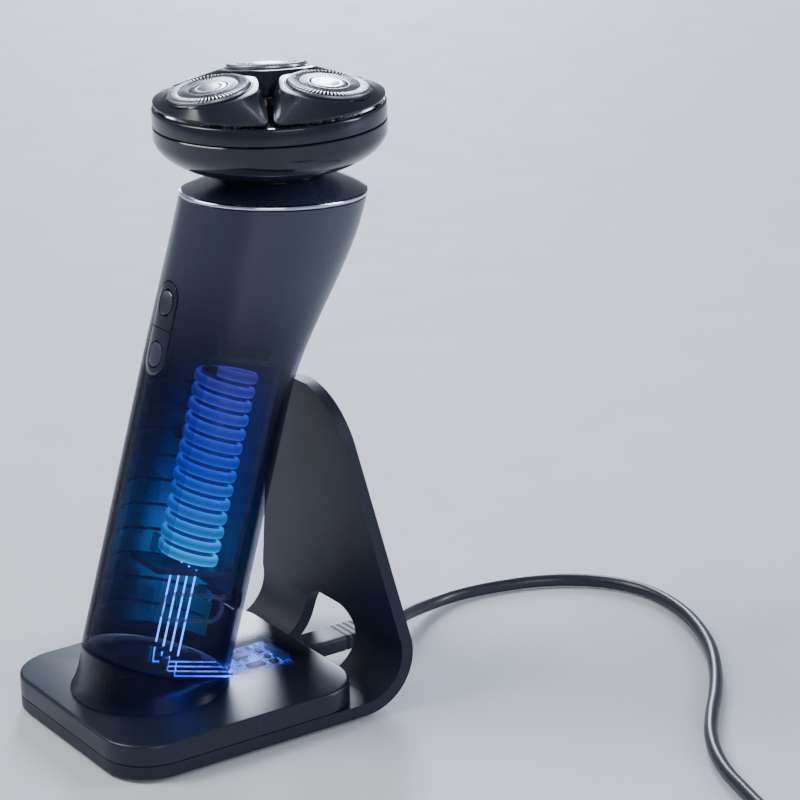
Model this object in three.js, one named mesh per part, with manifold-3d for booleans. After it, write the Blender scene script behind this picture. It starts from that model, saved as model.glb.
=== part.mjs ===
// A three-head rotary shaver standing on its magnetic charging stand, with the stand's USB lead.
// Millimetres, +Z up. The origin is on the floor under the middle of the stand's base.
// -Y is the front of the shaver (button side), +Y its back, where the bent bracket stands.
import * as THREE from 'three';
import Module from 'manifold-3d';
import { mergeVertices } from 'three/addons/utils/BufferGeometryUtils.js';

const wasm = await Module();
wasm.setup();

// ---- driving dimensions -------------------------------------------------------------------
const GAP = 0.3;                  // clearance between pieces that touch
const SLIDE = 0.35;               // running clearance round what turns or slides

// stand
const BASE_WIDTH = 72.6;          // along X, also the width of the bent plate
const BASE_DEPTH = 74;            // along Y
const BASE_CORNER = 14;           // plan radius of the base corners
const FOOT_THICKNESS = 0.8;
const FOOT_INSET = 3;
const PLATE_THICKNESS = 3.5;      // one bent plate runs under the block and up behind the shaver
const BEND_OUTER = 15.5;          // outside radius of the bend
const BEND_LEAN = 6;              // degrees the upright leans forward, past square
const UPRIGHT_LENGTH = 69;        // straight length of the upright, from the bend to its round top
const UPRIGHT_TOP_RADIUS = 21;
const TAPER_START = 19;           // height where the sides of the upright start to draw in
const WINDOW_HALF_WIDTH = 13.5;   // cable window through the bend
const WINDOW_TOP = 20.5;
const WINDOW_CORNER = 9;
const BLOCK_HEIGHT = 5.7;
const BLOCK_WALL = 2.4;
const BLOCK_ROOF = 1.4;
const BLOCK_EDGE = 0.9;           // chamfer round the block's top
const BOARD_ROOF = 0.7;           // thinner roof over the stand's circuit board
const BOARD_WIDTH = 20;
const BOARD_LENGTH = 16.5;
const BOARD_THICKNESS = 1.2;
const BOARD_DROP = 1.6;           // from the top of the cavity down to the board

// dock
const DOCK_TILT = 17.4;           // degrees the docked shaver leans back
const DOCK_Y = -8.23;             // middle of the plinth's sloping top
const DOCK_Z = 17.6;
const PLINTH_FLARE = 1.8;         // the plinth's foot is this much larger than the handle
const BOSS_RADIUS = 11.7;         // locating boss that enters the recess in the handle's bottom
const BOSS_RISE = 1.2;
const BOSS_DEPTH = 3.2;
const CONTACT_RADIUS = 1.2;
const CONTACT_SPACING = 9;
const CONTACT_RISE = 0.6;

// handle, in its own frame: z along the axis from the plinth top, -y front
const GRIP_RADIUS = 20.4;
const GRIP_WALL = 1.6;
const FLARE_START = 78.75;        // height where the back starts to flare
const RIM_FRONT = 125.45;         // height of the sloping rim at the front
const RIM_BACK = 136.75;          // and at the back
const BACK_FLARE = 10.6;
const SIDE_FLARE = 0.6;
const FLARE_FINISH = 0.93;        // share of the flare's height where it stops growing
const TRIM_HEIGHT = 0.9;
const SHOULDER_WALL = 1.5;
const COLLAR_RADIUS = 15.2;
const COLLAR_Z = 145.7;           // height above the floor of the shoulder's top edge
const CAP_HEIGHT = 2.7;
const CAP_FLOOR = 1.2;
const PANEL_WIDTH = 9.3;          // capsule-shaped control panel
const PANEL_HEIGHT = 25.3;
const PANEL_Z = 90.2;
const PANEL_DEPTH = 1.5;
const PANEL_RISE = 0.12;
const KEY_RADIUS = 3.3;
const KEY_OFFSET = 7;             // button above, window below the panel's middle
const KEY_STEM = 1.4;
const KEY_TRAVEL = 0.8;
const PORT_Z = 18.75;
const PORT_WIDTH = 8.9;
const PORT_HEIGHT = 3.2;
const PORT_WALL = 0.4;
const PORT_DEPTH = 7;
const FLAP_WIDTH = 12.4;
const FLAP_HEIGHT = 5.6;
const FLAP_THICKNESS = 1.1;

// inside the handle
const CELL_Y = 3;                 // the battery sits a little behind the axis
const CELL_RADIUS = 6.8;
const CELL_BOTTOM = 29;
const CELL_LENGTH = 52;
const COIL_BOTTOM = 27.35;
const COIL_LENGTH = 55.9;
const COIL_RADIUS = 8.3;
const COIL_TURNS = 14;
const COIL_WIRE = 1.2;
const LEAD_THICKNESS = 0.8;
const LEAD_SPACING = 4;
const LEAD_COUNT = 4;
const CHASSIS_Y = 13.2;
const CHASSIS_WIDTH = 15;
const CHASSIS_THICKNESS = 1.6;
const MAIN_BOARD_Y = -11.5;
const MAIN_BOARD_WIDTH = 23;
const MAIN_BOARD_BOTTOM = 9;
const MAIN_BOARD_TOP = 110;
const MAIN_BOARD_THICKNESS = 1.2;
const SWITCH_SIZE = 5;
const MOTOR_RADIUS = 9;
const MOTOR_BOTTOM = 112;
const MOTOR_LENGTH = 24;
const SHAFT_RADIUS = 1.15;

// head: a level disc above the sloping shoulder, turned about the vertical line x = 0, y = HEAD_Y
const HEAD_Y = 35.6;
const HEAD_Z = 160;               // height of the seam between the bowl and the band
const HEAD_RADIUS = 31;
const HEAD_WALL = 1.6;
const BOWL_DEPTH = 12.3;
const BOWL_MOUTH = 9.5;
const BAND_HEIGHT = 4.6;
const DECK_THICKNESS = 1.7;
const BOOT_RADIUS = 12.6;
const BOOT_BORE = 8.5;
const POD_COUNT = 3;
const POD_CIRCLE = 17;            // radius of the circle the pods' pivots stand on
const POD_PIVOT = 5;              // their height above the seam
const POD_LEAN = 9;               // degrees each pod leans outwards
const POD_FLOAT = 0.8;            // gap under each pod that lets it rock
const POD_SPLIT = 0.8;            // half the gap between neighbours
const POD_TOP_RADIUS = 11.5;
const POD_TOP = 5.6;
const POD_BORE_FLOOR = 2.4;       // underside of the ledge that the guard sits on
const GUARD_RADIUS = 10.8;
const GUARD_RISE = 0.8;
const GUARD_SKIN = 0.5;
const GUARD_HOLE = 5.1;
const CUTTER_RADIUS = 9.6;
const CUTTER_BLADES = 12;
const CENTRE_TEETH = 18;
const DRIVE_TEETH = 22;
const GEAR_THICKNESS = 2;
const BACKLASH = 0.55;
const SPINDLE_RADIUS = 1.3;
const SPINDLE_HEAD = 2;
const HUB_SOCKET = 3.6;

// lead
const CORD_DIAMETER = 3.8;
const CONNECTOR_WIDTH = 10;
const CONNECTOR_HEIGHT = 4.6;
const CONNECTOR_Z = 7.4;
const CONNECTOR_END = 58;
const CONNECTOR_TAPER = 6;
const COIL_MID_RADIUS = 22.3;     // middle turn of the length that lies coiled
const COIL_ROWS = 3.2;            // turns side by side, with the room between them
const COIL_LAYERS = 2;
const COIL_CENTRE = [168.5, 50.5];
const PLUG_WIDTH = 15.5;
const PLUG_HEIGHT = 8;
const PLUG_LENGTH = 24;
const PLUG_BOOT = 12;
const SHELL_WIDTH = 12;
const SHELL_HEIGHT = 4.5;
const SHELL_LENGTH = 12;
const SHELL_SKIN = 0.4;
const CORD_ROUTE = [              // chosen by hand: out of the connector, down to the floor, round and away
  [0, 66.6, 7.4], [-2.4, 72, 6.7], [-6.8, 78.4, 5.2], [-11, 85.4, 3.6], [-13.9, 92.6, 2.5],
  [-15.2, 100, 2.1], [-14.9, 108, 1.95], [-13.2, 116, 1.95], [-10.4, 124.6, 1.95], [-6, 132.6, 1.95],
  [0.2, 139.6, 1.95], [7.6, 144.7, 1.95], [16, 147.6, 1.95], [25, 148, 1.95], [36.5, 146.2, 1.95],
  [48.5, 142.1, 1.95], [61, 135.8, 1.95], [73, 127.5, 1.95], [84, 118.3, 1.95], [93.6, 109.2, 1.95],
  [103, 101.2, 1.95], [112.6, 95, 1.95], [122.5, 90.4, 1.95], [133, 87.2, 1.95], [143.5, 84.3, 1.95],
  [152, 82, 1.95], [159.8, 79.9, 1.95],
];

// ---- worked-out places --------------------------------------------------------------------
const PLATE_Z = FOOT_THICKNESS + GAP;
const BLOCK_Z = PLATE_Z + PLATE_THICKNESS + GAP;
const BLOCK_TOP = BLOCK_Z + BLOCK_HEIGHT;
const REAR_Y = BASE_DEPTH / 2;
const BEND_Y = REAR_Y - 1;        // the bend starts just inside the block's rear face
const BEND_Z = PLATE_Z + BEND_OUTER;
const KEEP_RADIUS = GRIP_RADIUS - GRIP_WALL;
const TILT = THREE.MathUtils.degToRad(DOCK_TILT);
const PITCH_CENTRE = (POD_CIRCLE * CENTRE_TEETH) / (CENTRE_TEETH + DRIVE_TEETH);
const PITCH_DRIVE = POD_CIRCLE - PITCH_CENTRE;
const MODULE = (2 * PITCH_CENTRE) / CENTRE_TEETH;
const GEAR_Z = -GEAR_THICKNESS - 0.6;
const GUARD_SEAT = POD_TOP - 2.2;
const BORE_RADIUS = CUTTER_RADIUS + 0.6;

// ---- geometry helpers ---------------------------------------------------------------------
function solid(geometry) {
  const bare = geometry.clone();
  bare.deleteAttribute('normal');
  bare.deleteAttribute('uv');
  const merged = bare.index && bare.userData.welded ? bare : mergeVertices(bare, 1e-4);
  const vertProperties = Float32Array.from(merged.attributes.position.array);
  const triVerts = Uint32Array.from(merged.index.array);
  return new wasm.Manifold(new wasm.Mesh({ numProp: 3, vertProperties, triVerts }));
}

function geometryOf(body) {
  const mesh = body.getMesh();
  const geometry = new THREE.BufferGeometry();
  geometry.setAttribute('position', new THREE.Float32BufferAttribute(mesh.vertProperties, 3));
  geometry.setIndex(Array.from(mesh.triVerts));
  geometry.userData.welded = true;
  geometry.computeVertexNormals();
  return geometry;
}

function cut(geometry, ...tools) {
  return geometryOf(tools.reduce((body, tool) => body.subtract(solid(tool)), solid(geometry)));
}

function join(geometry, ...others) {
  return geometryOf(others.reduce((body, other) => body.add(solid(other)), solid(geometry)));
}

function common(geometry, ...others) {
  return geometryOf(others.reduce((body, other) => body.intersect(solid(other)), solid(geometry)));
}

// A skin over equal rings of points. An open run is closed by flat lids, a looped run needs none.
function loft(rings, looped = false) {
  const sides = rings[0].length;
  const points = rings.flat();
  const faces = [];
  const spans = looped ? rings.length : rings.length - 1;
  for (let r = 0; r < spans; r++) {
    const low = r * sides;
    const high = ((r + 1) % rings.length) * sides;
    for (let k = 0; k < sides; k++) {
      const n = (k + 1) % sides;
      faces.push(low + k, low + n, high + n, low + k, high + n, high + k);
    }
  }
  if (!looped) {
    for (const [start, flip] of [[0, true], [(rings.length - 1) * sides, false]]) {
      for (let k = 1; k < sides - 1; k++) {
        faces.push(start, start + (flip ? k + 1 : k), start + (flip ? k : k + 1));
      }
    }
  }
  let volume = 0;
  for (let f = 0; f < faces.length; f += 3) {
    const [a, b, c] = [points[faces[f]], points[faces[f + 1]], points[faces[f + 2]]];
    volume += a.dot(b.clone().cross(c));
  }
  if (volume < 0) {
    for (let f = 0; f < faces.length; f += 3) {
      [faces[f + 1], faces[f + 2]] = [faces[f + 2], faces[f + 1]];
    }
  }
  const geometry = new THREE.BufferGeometry();
  geometry.setAttribute('position', new THREE.Float32BufferAttribute(points.flatMap((p) => p.toArray()), 3));
  geometry.setIndex(faces);
  geometry.userData.welded = true;
  geometry.computeVertexNormals();
  return geometry;
}

function circleRing(radius, z, sides, centre = [0, 0], squash = 1) {
  return Array.from({ length: sides }, (_, k) => {
    const angle = (2 * Math.PI * k) / sides;
    const x = centre[0] + radius * Math.sin(angle);
    return new THREE.Vector3(x, centre[1] + radius * squash * Math.cos(angle), z);
  });
}

// A turned piece about +Z from [radius, z] points.
function turned(profile, sides) {
  const points = profile.map(([r, z]) => new THREE.Vector2(r, z));
  return new THREE.LatheGeometry(points, sides).rotateX(Math.PI / 2);
}

// A turned ring whose profile closes on itself.
function turnedRing(profile, sides) {
  return loft(profile.map(([r, z]) => circleRing(r, z, sides)), true);
}

function rod(radius, bottom, top, sides = 20) {
  return loft([circleRing(radius, bottom, sides), circleRing(radius, top, sides)]);
}

function slab(width, depth, bottom, top, x = 0, y = 0) {
  return new THREE.BoxGeometry(width, depth, top - bottom).translate(x, y, (top + bottom) / 2);
}

function roundedOutline(width, depth, corner) {
  const [w, d, r] = [width / 2, depth / 2, Math.min(corner, width / 2 - 1e-3, depth / 2 - 1e-3)];
  const shape = new THREE.Shape();
  shape.moveTo(-w + r, -d);
  shape.absarc(w - r, -d + r, r, -Math.PI / 2, 0, false);
  shape.absarc(w - r, d - r, r, 0, Math.PI / 2, false);
  shape.absarc(-w + r, d - r, r, Math.PI / 2, Math.PI, false);
  shape.absarc(-w + r, -d + r, r, Math.PI, 1.5 * Math.PI, false);
  return shape;
}

function prism(shape, depth, curveSegments = 8) {
  return new THREE.ExtrudeGeometry(shape, { depth, bevelEnabled: false, curveSegments });
}

// An upright capsule or circle prism that points along Y and runs from y = from to y = to.
function plugAlongY(width, height, from, to, z, sides = 5) {
  const shape = roundedOutline(width, height, Math.min(width, height) / 2);
  return prism(shape, to - from, sides).rotateX(Math.PI / 2).translate(0, to, z);
}

// ---- the scene ----------------------------------------------------------------------------
const shaver = new THREE.Group();
const stand = new THREE.Group();
const handle = new THREE.Group();
handle.position.set(0, DOCK_Y, DOCK_Z);
handle.rotation.x = -TILT;
handle.updateMatrix();
const toHandle = handle.matrix.clone().invert();
const neck = new THREE.Group();
neck.position.set(0, HEAD_Y, 0);
const head = new THREE.Group();
head.position.set(0, HEAD_Y, HEAD_Z);
shaver.add(stand, handle, neck, head);

function finish(color, roughness, metalness = 0) {
  return new THREE.MeshStandardMaterial({ color, roughness, metalness });
}

const paintedMetal = () => finish(0x1c2130, 0.45, 0.6);
const darkPlastic = () => finish(0x14161d, 0.4);
const glossPlastic = () => finish(0x08090d, 0.12);
const steel = () => finish(0xb9bec8, 0.25, 1);
const brass = () => finish(0xc79a45, 0.3, 1);
const rubber = () => finish(0x101114, 0.8);
const board = () => finish(0x123a2c, 0.6);
const whitePlastic = () => finish(0xd8d9d4, 0.5);
const glow = () => finish(0x1fb4ff, 0.3);

function piece(group, name, geometry, material) {
  const mesh = new THREE.Mesh(geometry, material);
  mesh.name = name;
  group.add(mesh);
  return mesh;
}

// ---- stand: foot pad, bent plate, block -----------------------------------------------------
function makeFootPad() {
  const [width, depth] = [BASE_WIDTH - 2 * FOOT_INSET, BASE_DEPTH - 2 * FOOT_INSET];
  return prism(roundedOutline(width, depth, BASE_CORNER - FOOT_INSET), FOOT_THICKNESS, 5);
}

// Side view of the bent plate: flat under the block, round the bend, up the leaning upright.
function plateSideOutline() {
  const inner = BEND_OUTER - PLATE_THICKNESS;
  const end = THREE.MathUtils.degToRad(BEND_LEAN);
  const along = new THREE.Vector2(-Math.sin(end), Math.cos(end)).multiplyScalar(UPRIGHT_LENGTH);
  const shape = new THREE.Shape();
  shape.moveTo(-REAR_Y, PLATE_Z);
  shape.lineTo(BEND_Y, PLATE_Z);
  shape.absarc(BEND_Y, BEND_Z, BEND_OUTER, -Math.PI / 2, end, false);
  const outerEnd = [BEND_Y + BEND_OUTER * Math.cos(end), BEND_Z + BEND_OUTER * Math.sin(end)];
  const innerEnd = [BEND_Y + inner * Math.cos(end), BEND_Z + inner * Math.sin(end)];
  shape.lineTo(outerEnd[0] + along.x, outerEnd[1] + along.y);
  shape.lineTo(innerEnd[0] + along.x, innerEnd[1] + along.y);
  shape.lineTo(innerEnd[0], innerEnd[1]);
  shape.absarc(BEND_Y, BEND_Z, inner, end, -Math.PI / 2, true);
  shape.lineTo(-REAR_Y, PLATE_Z + PLATE_THICKNESS);
  return shape;
}

// Seen from behind: straight sides, then drawn in to a round top that the sides touch.
function plateRearOutline() {
  const half = BASE_WIDTH / 2;
  const top = BEND_Z + BEND_OUTER * Math.sin(THREE.MathUtils.degToRad(BEND_LEAN)) + UPRIGHT_LENGTH * 0.9945;
  const centre = top - UPRIGHT_TOP_RADIUS;
  const reach = Math.hypot(half, centre - TAPER_START);
  const start = Math.atan2(TAPER_START - centre, half) + Math.acos(UPRIGHT_TOP_RADIUS / reach);
  const shape = new THREE.Shape();
  shape.moveTo(-half, PLATE_Z - 1);
  shape.lineTo(half, PLATE_Z - 1);
  shape.lineTo(half, TAPER_START);
  shape.absarc(0, centre, UPRIGHT_TOP_RADIUS, start, Math.PI - start, false);
  shape.lineTo(-half, TAPER_START);
  return shape;
}

function windowOutline() {
  const shape = new THREE.Shape();
  const [half, r] = [WINDOW_HALF_WIDTH, WINDOW_CORNER];
  shape.moveTo(-half, -2);
  shape.lineTo(half, -2);
  shape.lineTo(half, WINDOW_TOP - r);
  shape.absarc(half - r, WINDOW_TOP - r, r, 0, Math.PI / 2, false);
  shape.absarc(-half + r, WINDOW_TOP - r, r, Math.PI / 2, Math.PI, false);
  return shape;
}

function makeBracket() {
  const depth = BEND_Y + BEND_OUTER + REAR_Y + 10;
  const side = prism(plateSideOutline(), BASE_WIDTH, 9)
    .applyMatrix4(new THREE.Matrix4().makeBasis(
      new THREE.Vector3(0, 1, 0), new THREE.Vector3(0, 0, 1), new THREE.Vector3(1, 0, 0)))
    .translate(-BASE_WIDTH / 2, 0, 0);
  const rear = prism(plateRearOutline(), depth, 20).rotateX(Math.PI / 2).translate(0, depth - REAR_Y, 0);
  const planDepth = depth + BASE_CORNER;
  const plan = prism(roundedOutline(BASE_WIDTH, planDepth, BASE_CORNER), 200, 7)
    .translate(0, planDepth / 2 - REAR_Y, -50);
  const opening = prism(windowOutline(), 60, 7).rotateX(Math.PI / 2).translate(0, REAR_Y + 1.5 + 60, 0);
  return cut(common(side, rear, plan), opening);
}

function baseRing(inset, z) {
  const outline = roundedOutline(BASE_WIDTH - 2 * inset, BASE_DEPTH - 2 * inset, BASE_CORNER - inset);
  return outline.getPoints(6).slice(0, -1).map((p) => new THREE.Vector3(p.x, p.y, z));
}

function distinct(ring) {
  return ring.filter((p, k) => p.distanceTo(ring[(k + 1) % ring.length]) > 1e-3);
}

const boardY = REAR_Y - BLOCK_WALL - 3.6 - BOARD_LENGTH / 2;
const cavityTop = BLOCK_TOP - BLOCK_ROOF;
const boardTop = cavityTop - BOARD_DROP + BOARD_THICKNESS / 2;

function makeBlock() {
  const rings = [baseRing(0, BLOCK_Z), baseRing(0, BLOCK_TOP - BLOCK_EDGE), baseRing(BLOCK_EDGE, BLOCK_TOP)];
  const body = loft(rings.map(distinct));
  const inside = [BASE_WIDTH - 2 * BLOCK_WALL, BASE_DEPTH - 2 * BLOCK_WALL];
  const cavity = prism(roundedOutline(...inside, BASE_CORNER - BLOCK_WALL), cavityTop - BLOCK_Z + 1, 5)
    .translate(0, 0, BLOCK_Z - 1);
  const pocketFront = DOCK_Y + 16.4;
  const pocketRear = boardY + BOARD_LENGTH / 2 + 1;
  const pocket = slab(BOARD_WIDTH + 2, pocketRear - pocketFront, BLOCK_Z, BLOCK_TOP - BOARD_ROOF,
    0, (pocketRear + pocketFront) / 2);
  const leadHole = slab(2 * BOSS_RADIUS - 4, 26, BLOCK_Z, BLOCK_TOP + 1, 0, DOCK_Y + 5.4);
  const rear = slab(CONNECTOR_WIDTH + 2 * GAP, 5 * BLOCK_WALL, CONNECTOR_Z - CONNECTOR_HEIGHT / 2 - GAP,
    CONNECTOR_Z + CONNECTOR_HEIGHT / 2 + GAP, 0, REAR_Y);
  return cut(body, cavity, pocket, leadHole, rear);
}

// ---- stand: plinth, boss, contacts, wiring --------------------------------------------------
const SIDES = 32;

function dockRing(radius, z) {
  return circleRing(radius, z, SIDES).map((p) => p.applyMatrix4(handle.matrix));
}

function makePlinth() {
  const footZ = BLOCK_TOP + GAP;
  const foot = GRIP_RADIUS + PLINTH_FLARE;
  const drop = (DOCK_Z - footZ) / Math.cos(TILT);
  const centre = DOCK_Y - drop * Math.sin(TILT);
  const mid = dockRing(GRIP_RADIUS, 0).map((p) => {
    const flared = p.clone();
    flared.z = footZ + (p.z - footZ) * 0.45;
    flared.x = p.x * (1 + 0.3 * PLINTH_FLARE / GRIP_RADIUS);
    flared.y = centre + (p.y - centre) * (1 + 0.25 * PLINTH_FLARE / GRIP_RADIUS);
    return flared;
  });
  const body = loft([circleRing(foot, footZ, SIDES, [0, centre], 0.965), mid, dockRing(GRIP_RADIUS, 0)]);
  const bore = rod(BOSS_RADIUS + GAP, -20, 5, 24).applyMatrix4(handle.matrix);
  const channel = slab(2 * BOSS_RADIUS - 4, 17, footZ - 5, footZ + 1.9, 0, DOCK_Y + 7.4);
  return cut(body, bore, channel);
}

const bossHoles = [-1, 1].map((side) => rod(CONTACT_RADIUS + GAP, -BOSS_DEPTH - 1, 5, 12)
  .translate(side * CONTACT_SPACING / 2, 0, 0));

function makeBoss() {
  const profile = [
    [0, -BOSS_DEPTH + CONTACT_RISE], [BOSS_RADIUS, -BOSS_DEPTH + CONTACT_RISE],
    [BOSS_RADIUS, BOSS_RISE - 0.5], [BOSS_RADIUS - 0.5, BOSS_RISE], [0, BOSS_RISE],
  ];
  return cut(turned(profile, 28), ...bossHoles);
}

function makeDockContact() {
  return rod(CONTACT_RADIUS, -BOSS_DEPTH + CONTACT_RISE, BOSS_RISE + CONTACT_RISE, 12);
}

const leadPlaces = Array.from({ length: LEAD_COUNT }, (_, k) => (k - (LEAD_COUNT - 1) / 2) * LEAD_SPACING);
const leadStart = new THREE.Vector3(0, -0.9, -BOSS_DEPTH + CONTACT_RISE - GAP - 0.5)
  .applyMatrix4(handle.matrix);
const leadEnd = new THREE.Vector3(0, boardY - BOARD_LENGTH / 2 - GAP - 0.2, boardTop - 0.3);

function makeDockLead(x) {
  const run = leadEnd.clone().sub(leadStart);
  const middle = leadStart.clone().add(leadEnd).multiplyScalar(0.5);
  return new THREE.BoxGeometry(LEAD_THICKNESS, run.length(), LEAD_THICKNESS)
    .rotateX(Math.atan2(run.z, run.y)).translate(x, middle.y, middle.z);
}

piece(stand, 'foot_pad', makeFootPad(), rubber());
piece(stand, 'bracket', makeBracket(), paintedMetal());
piece(stand, 'base_block', makeBlock(), darkPlastic());
piece(stand, 'plinth', makePlinth(), darkPlastic());
const standBoard = slab(BOARD_WIDTH, BOARD_LENGTH, boardTop - BOARD_THICKNESS, boardTop, 0, boardY);
piece(stand, 'stand_board', standBoard, board());
leadPlaces.forEach((x, k) => piece(stand, `dock_lead_${k + 1}`, makeDockLead(x), glow()));

const dock = new THREE.Group();
dock.applyMatrix4(handle.matrix);
stand.add(dock);
piece(dock, 'dock_boss', makeBoss(), darkPlastic());
[-1, 1].forEach((side, k) => {
  const contact = piece(dock, `dock_contact_${k + 1}`, makeDockContact(), brass());
  contact.position.x = side * CONTACT_SPACING / 2;
});

// ---- lead: connector, cord, coil, plug ------------------------------------------------------
function makeConnector() {
  const start = REAR_Y - BLOCK_WALL - 2;
  const tip = CORD_DIAMETER / 2 + 0.5;
  const section = (halfWidth, halfHeight, y) => Array.from({ length: 24 }, (_, k) => {
    const angle = (2 * Math.PI * k) / 24;
    const power = 1 / 3;
    const [c, s] = [Math.cos(angle), Math.sin(angle)];
    return new THREE.Vector3(halfWidth * Math.sign(c) * Math.abs(c) ** power, y,
      CONNECTOR_Z + halfHeight * Math.sign(s) * Math.abs(s) ** power);
  });
  const round = (radius, y) => Array.from({ length: 24 }, (_, k) => {
    const angle = (2 * Math.PI * k) / 24;
    return new THREE.Vector3(radius * Math.cos(angle), y, CONNECTOR_Z + radius * Math.sin(angle));
  });
  return loft([
    section(CONNECTOR_WIDTH / 2, CONNECTOR_HEIGHT / 2, start),
    section(CONNECTOR_WIDTH / 2, CONNECTOR_HEIGHT / 2, CONNECTOR_END - 1),
    section(CONNECTOR_WIDTH / 2 - 0.8, CONNECTOR_HEIGHT / 2 - 0.4, CONNECTOR_END),
    round(tip, CONNECTOR_END + CONNECTOR_TAPER),
  ]);
}

function makeCord() {
  const route = CORD_ROUTE.map((p) => new THREE.Vector3(...p));
  const start = new THREE.Vector3(0, CONNECTOR_END + CONNECTOR_TAPER + GAP, CONNECTOR_Z);
  const path = new THREE.CatmullRomCurve3([start, ...route], false, 'centripetal');
  const sides = 8;
  const steps = 44;
  const radius = CORD_DIAMETER / 2;
  const rings = Array.from({ length: steps + 1 }, (_, k) => {
    const point = path.getPointAt(k / steps);
    const along = path.getTangentAt(k / steps);
    const across = new THREE.Vector3(0, 0, 1).cross(along).normalize();
    const up = along.clone().cross(across);
    return Array.from({ length: sides }, (_, s) => {
      const angle = (2 * Math.PI * (s + 0.5)) / sides;
      return point.clone()
        .addScaledVector(across, radius * Math.cos(angle))
        .addScaledVector(up, radius * Math.sin(angle));
    });
  });
  return loft(rings);
}

const coilHalf = (COIL_ROWS * CORD_DIAMETER) / 2;
const coilOuter = COIL_MID_RADIUS + coilHalf;
const coilTop = CORD_DIAMETER * COIL_LAYERS + 0.1;

function makeCoilRing() {
  const [inner, round] = [COIL_MID_RADIUS - coilHalf, CORD_DIAMETER / 3];
  return turnedRing([
    [inner + round, 0], [coilOuter - round, 0], [coilOuter, round], [coilOuter, coilTop - round],
    [coilOuter - round, coilTop], [inner + round, coilTop], [inner, coilTop - round], [inner, round],
  ], 24);
}

// The plug lies beside the coil, on the line where the last turn leaves it.
const plugRun = COIL_MID_RADIUS + CORD_DIAMETER;
const plugStart = Math.sqrt((coilOuter + GAP + CORD_DIAMETER / 2 + 0.6) ** 2 - plugRun ** 2);

function makePlugBody() {
  const bodyEnd = -PLUG_BOOT - PLUG_LENGTH;
  const section = (width, height, corner, y) => roundedOutline(width, height, corner)
    .getPoints(3)
    .slice(0, -1)
    .map((p) => new THREE.Vector3(p.x, y, PLUG_HEIGHT / 2 + p.y));
  const tip = CORD_DIAMETER + 1;
  return loft([
    section(tip, tip, tip / 2 - 0.05, 0),
    section(tip + 1, tip + 1, tip / 2, -PLUG_BOOT),
    section(PLUG_WIDTH - 2, PLUG_HEIGHT - 1.6, 2.4, -PLUG_BOOT - 0.5),
    section(PLUG_WIDTH, PLUG_HEIGHT, 2.6, -PLUG_BOOT - 2.5),
    section(PLUG_WIDTH, PLUG_HEIGHT, 2.6, bodyEnd + 1),
    section(PLUG_WIDTH - 1.4, PLUG_HEIGHT - 1.4, 2.2, bodyEnd),
  ]);
}

function makePlugShell() {
  const from = -PLUG_BOOT - PLUG_LENGTH - GAP;
  const middle = from - SHELL_LENGTH / 2;
  const [low, high] = [(PLUG_HEIGHT - SHELL_HEIGHT) / 2, (PLUG_HEIGHT + SHELL_HEIGHT) / 2];
  const outer = slab(SHELL_WIDTH, SHELL_LENGTH, low, high, 0, middle);
  const tongueTop = PLUG_HEIGHT / 2 + 0.3;
  const mouthWidth = SHELL_WIDTH - 2 * SHELL_SKIN;
  const mouth = slab(mouthWidth, SHELL_LENGTH, tongueTop, high - SHELL_SKIN, 0, middle - 1.5);
  return cut(outer, mouth);
}

piece(stand, 'cable_connector', makeConnector(), darkPlastic());
piece(stand, 'cord', makeCord(), rubber());
const coil = new THREE.Group();
coil.position.set(COIL_CENTRE[0], COIL_CENTRE[1], 0);
stand.add(coil);
piece(coil, 'cord_coil', makeCoilRing(), rubber());
const plug = new THREE.Group();
plug.position.set(plugRun, -plugStart, 0);
coil.add(plug);
piece(plug, 'plug_body', makePlugBody(), darkPlastic());
piece(plug, 'plug_shell', makePlugShell(), steel());

// ---- handle: housing ------------------------------------------------------------------------
// One ring of the grip's outside at a height of the front line. Above FLARE_START the ring tips
// towards the sloping rim while the back draws away.
function gripRing(front, inset = 0, lift = 0) {
  const share = Math.max(0, (front - FLARE_START) / (RIM_FRONT - FLARE_START));
  const back = share > 0 ? FLARE_START + share * (RIM_BACK - FLARE_START) : front;
  const eased = THREE.MathUtils.smoothstep(share / FLARE_FINISH, 0, 1);
  const yFront = -GRIP_RADIUS + inset;
  const yBack = GRIP_RADIUS + BACK_FLARE * eased - inset;
  const half = GRIP_RADIUS + SIDE_FLARE * eased - inset;
  return Array.from({ length: SIDES }, (_, k) => {
    const angle = (2 * Math.PI * k) / SIDES;
    const c = Math.cos(angle);
    return new THREE.Vector3(half * Math.sin(angle), (yFront + yBack) / 2 + c * (yBack - yFront) / 2,
      (front + back) / 2 + c * (back - front) / 2 + lift);
  });
}

const shellTop = RIM_FRONT - TRIM_HEIGHT - GAP;
const gripHeights = [GAP, 30, 55, FLARE_START];
for (let k = 1; k <= 8; k++) gripHeights.push(FLARE_START + ((shellTop - FLARE_START) * k) / 8);

function gripSkin(outset, inset) {
  const outer = gripHeights.map((h) => gripRing(h, -outset));
  const inner = gripHeights.map((h) => gripRing(h, inset)).reverse();
  return loft([...outer, ...inner], true);
}

function onFront(width, height, z) {
  return plugAlongY(width, height, -GRIP_RADIUS - 3, -GRIP_RADIUS + 5, z);
}

function onBack(width, height, z) {
  return plugAlongY(width, height, GRIP_RADIUS - 5, GRIP_RADIUS + 3, z);
}

function makeGripShell() {
  return cut(gripSkin(0, GRIP_WALL), onFront(PANEL_WIDTH + 2 * GAP, PANEL_HEIGHT + 2 * GAP, PANEL_Z),
    onBack(FLAP_WIDTH + 2 * GAP, FLAP_HEIGHT + 2 * GAP, PORT_Z));
}

const keyBore = 2 * (KEY_RADIUS + GAP);

function makeBezel() {
  return cut(common(gripSkin(PANEL_RISE, PANEL_DEPTH), onFront(PANEL_WIDTH, PANEL_HEIGHT, PANEL_Z)),
    onFront(keyBore, keyBore, PANEL_Z + KEY_OFFSET), onFront(keyBore, keyBore, PANEL_Z - KEY_OFFSET));
}

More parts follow.
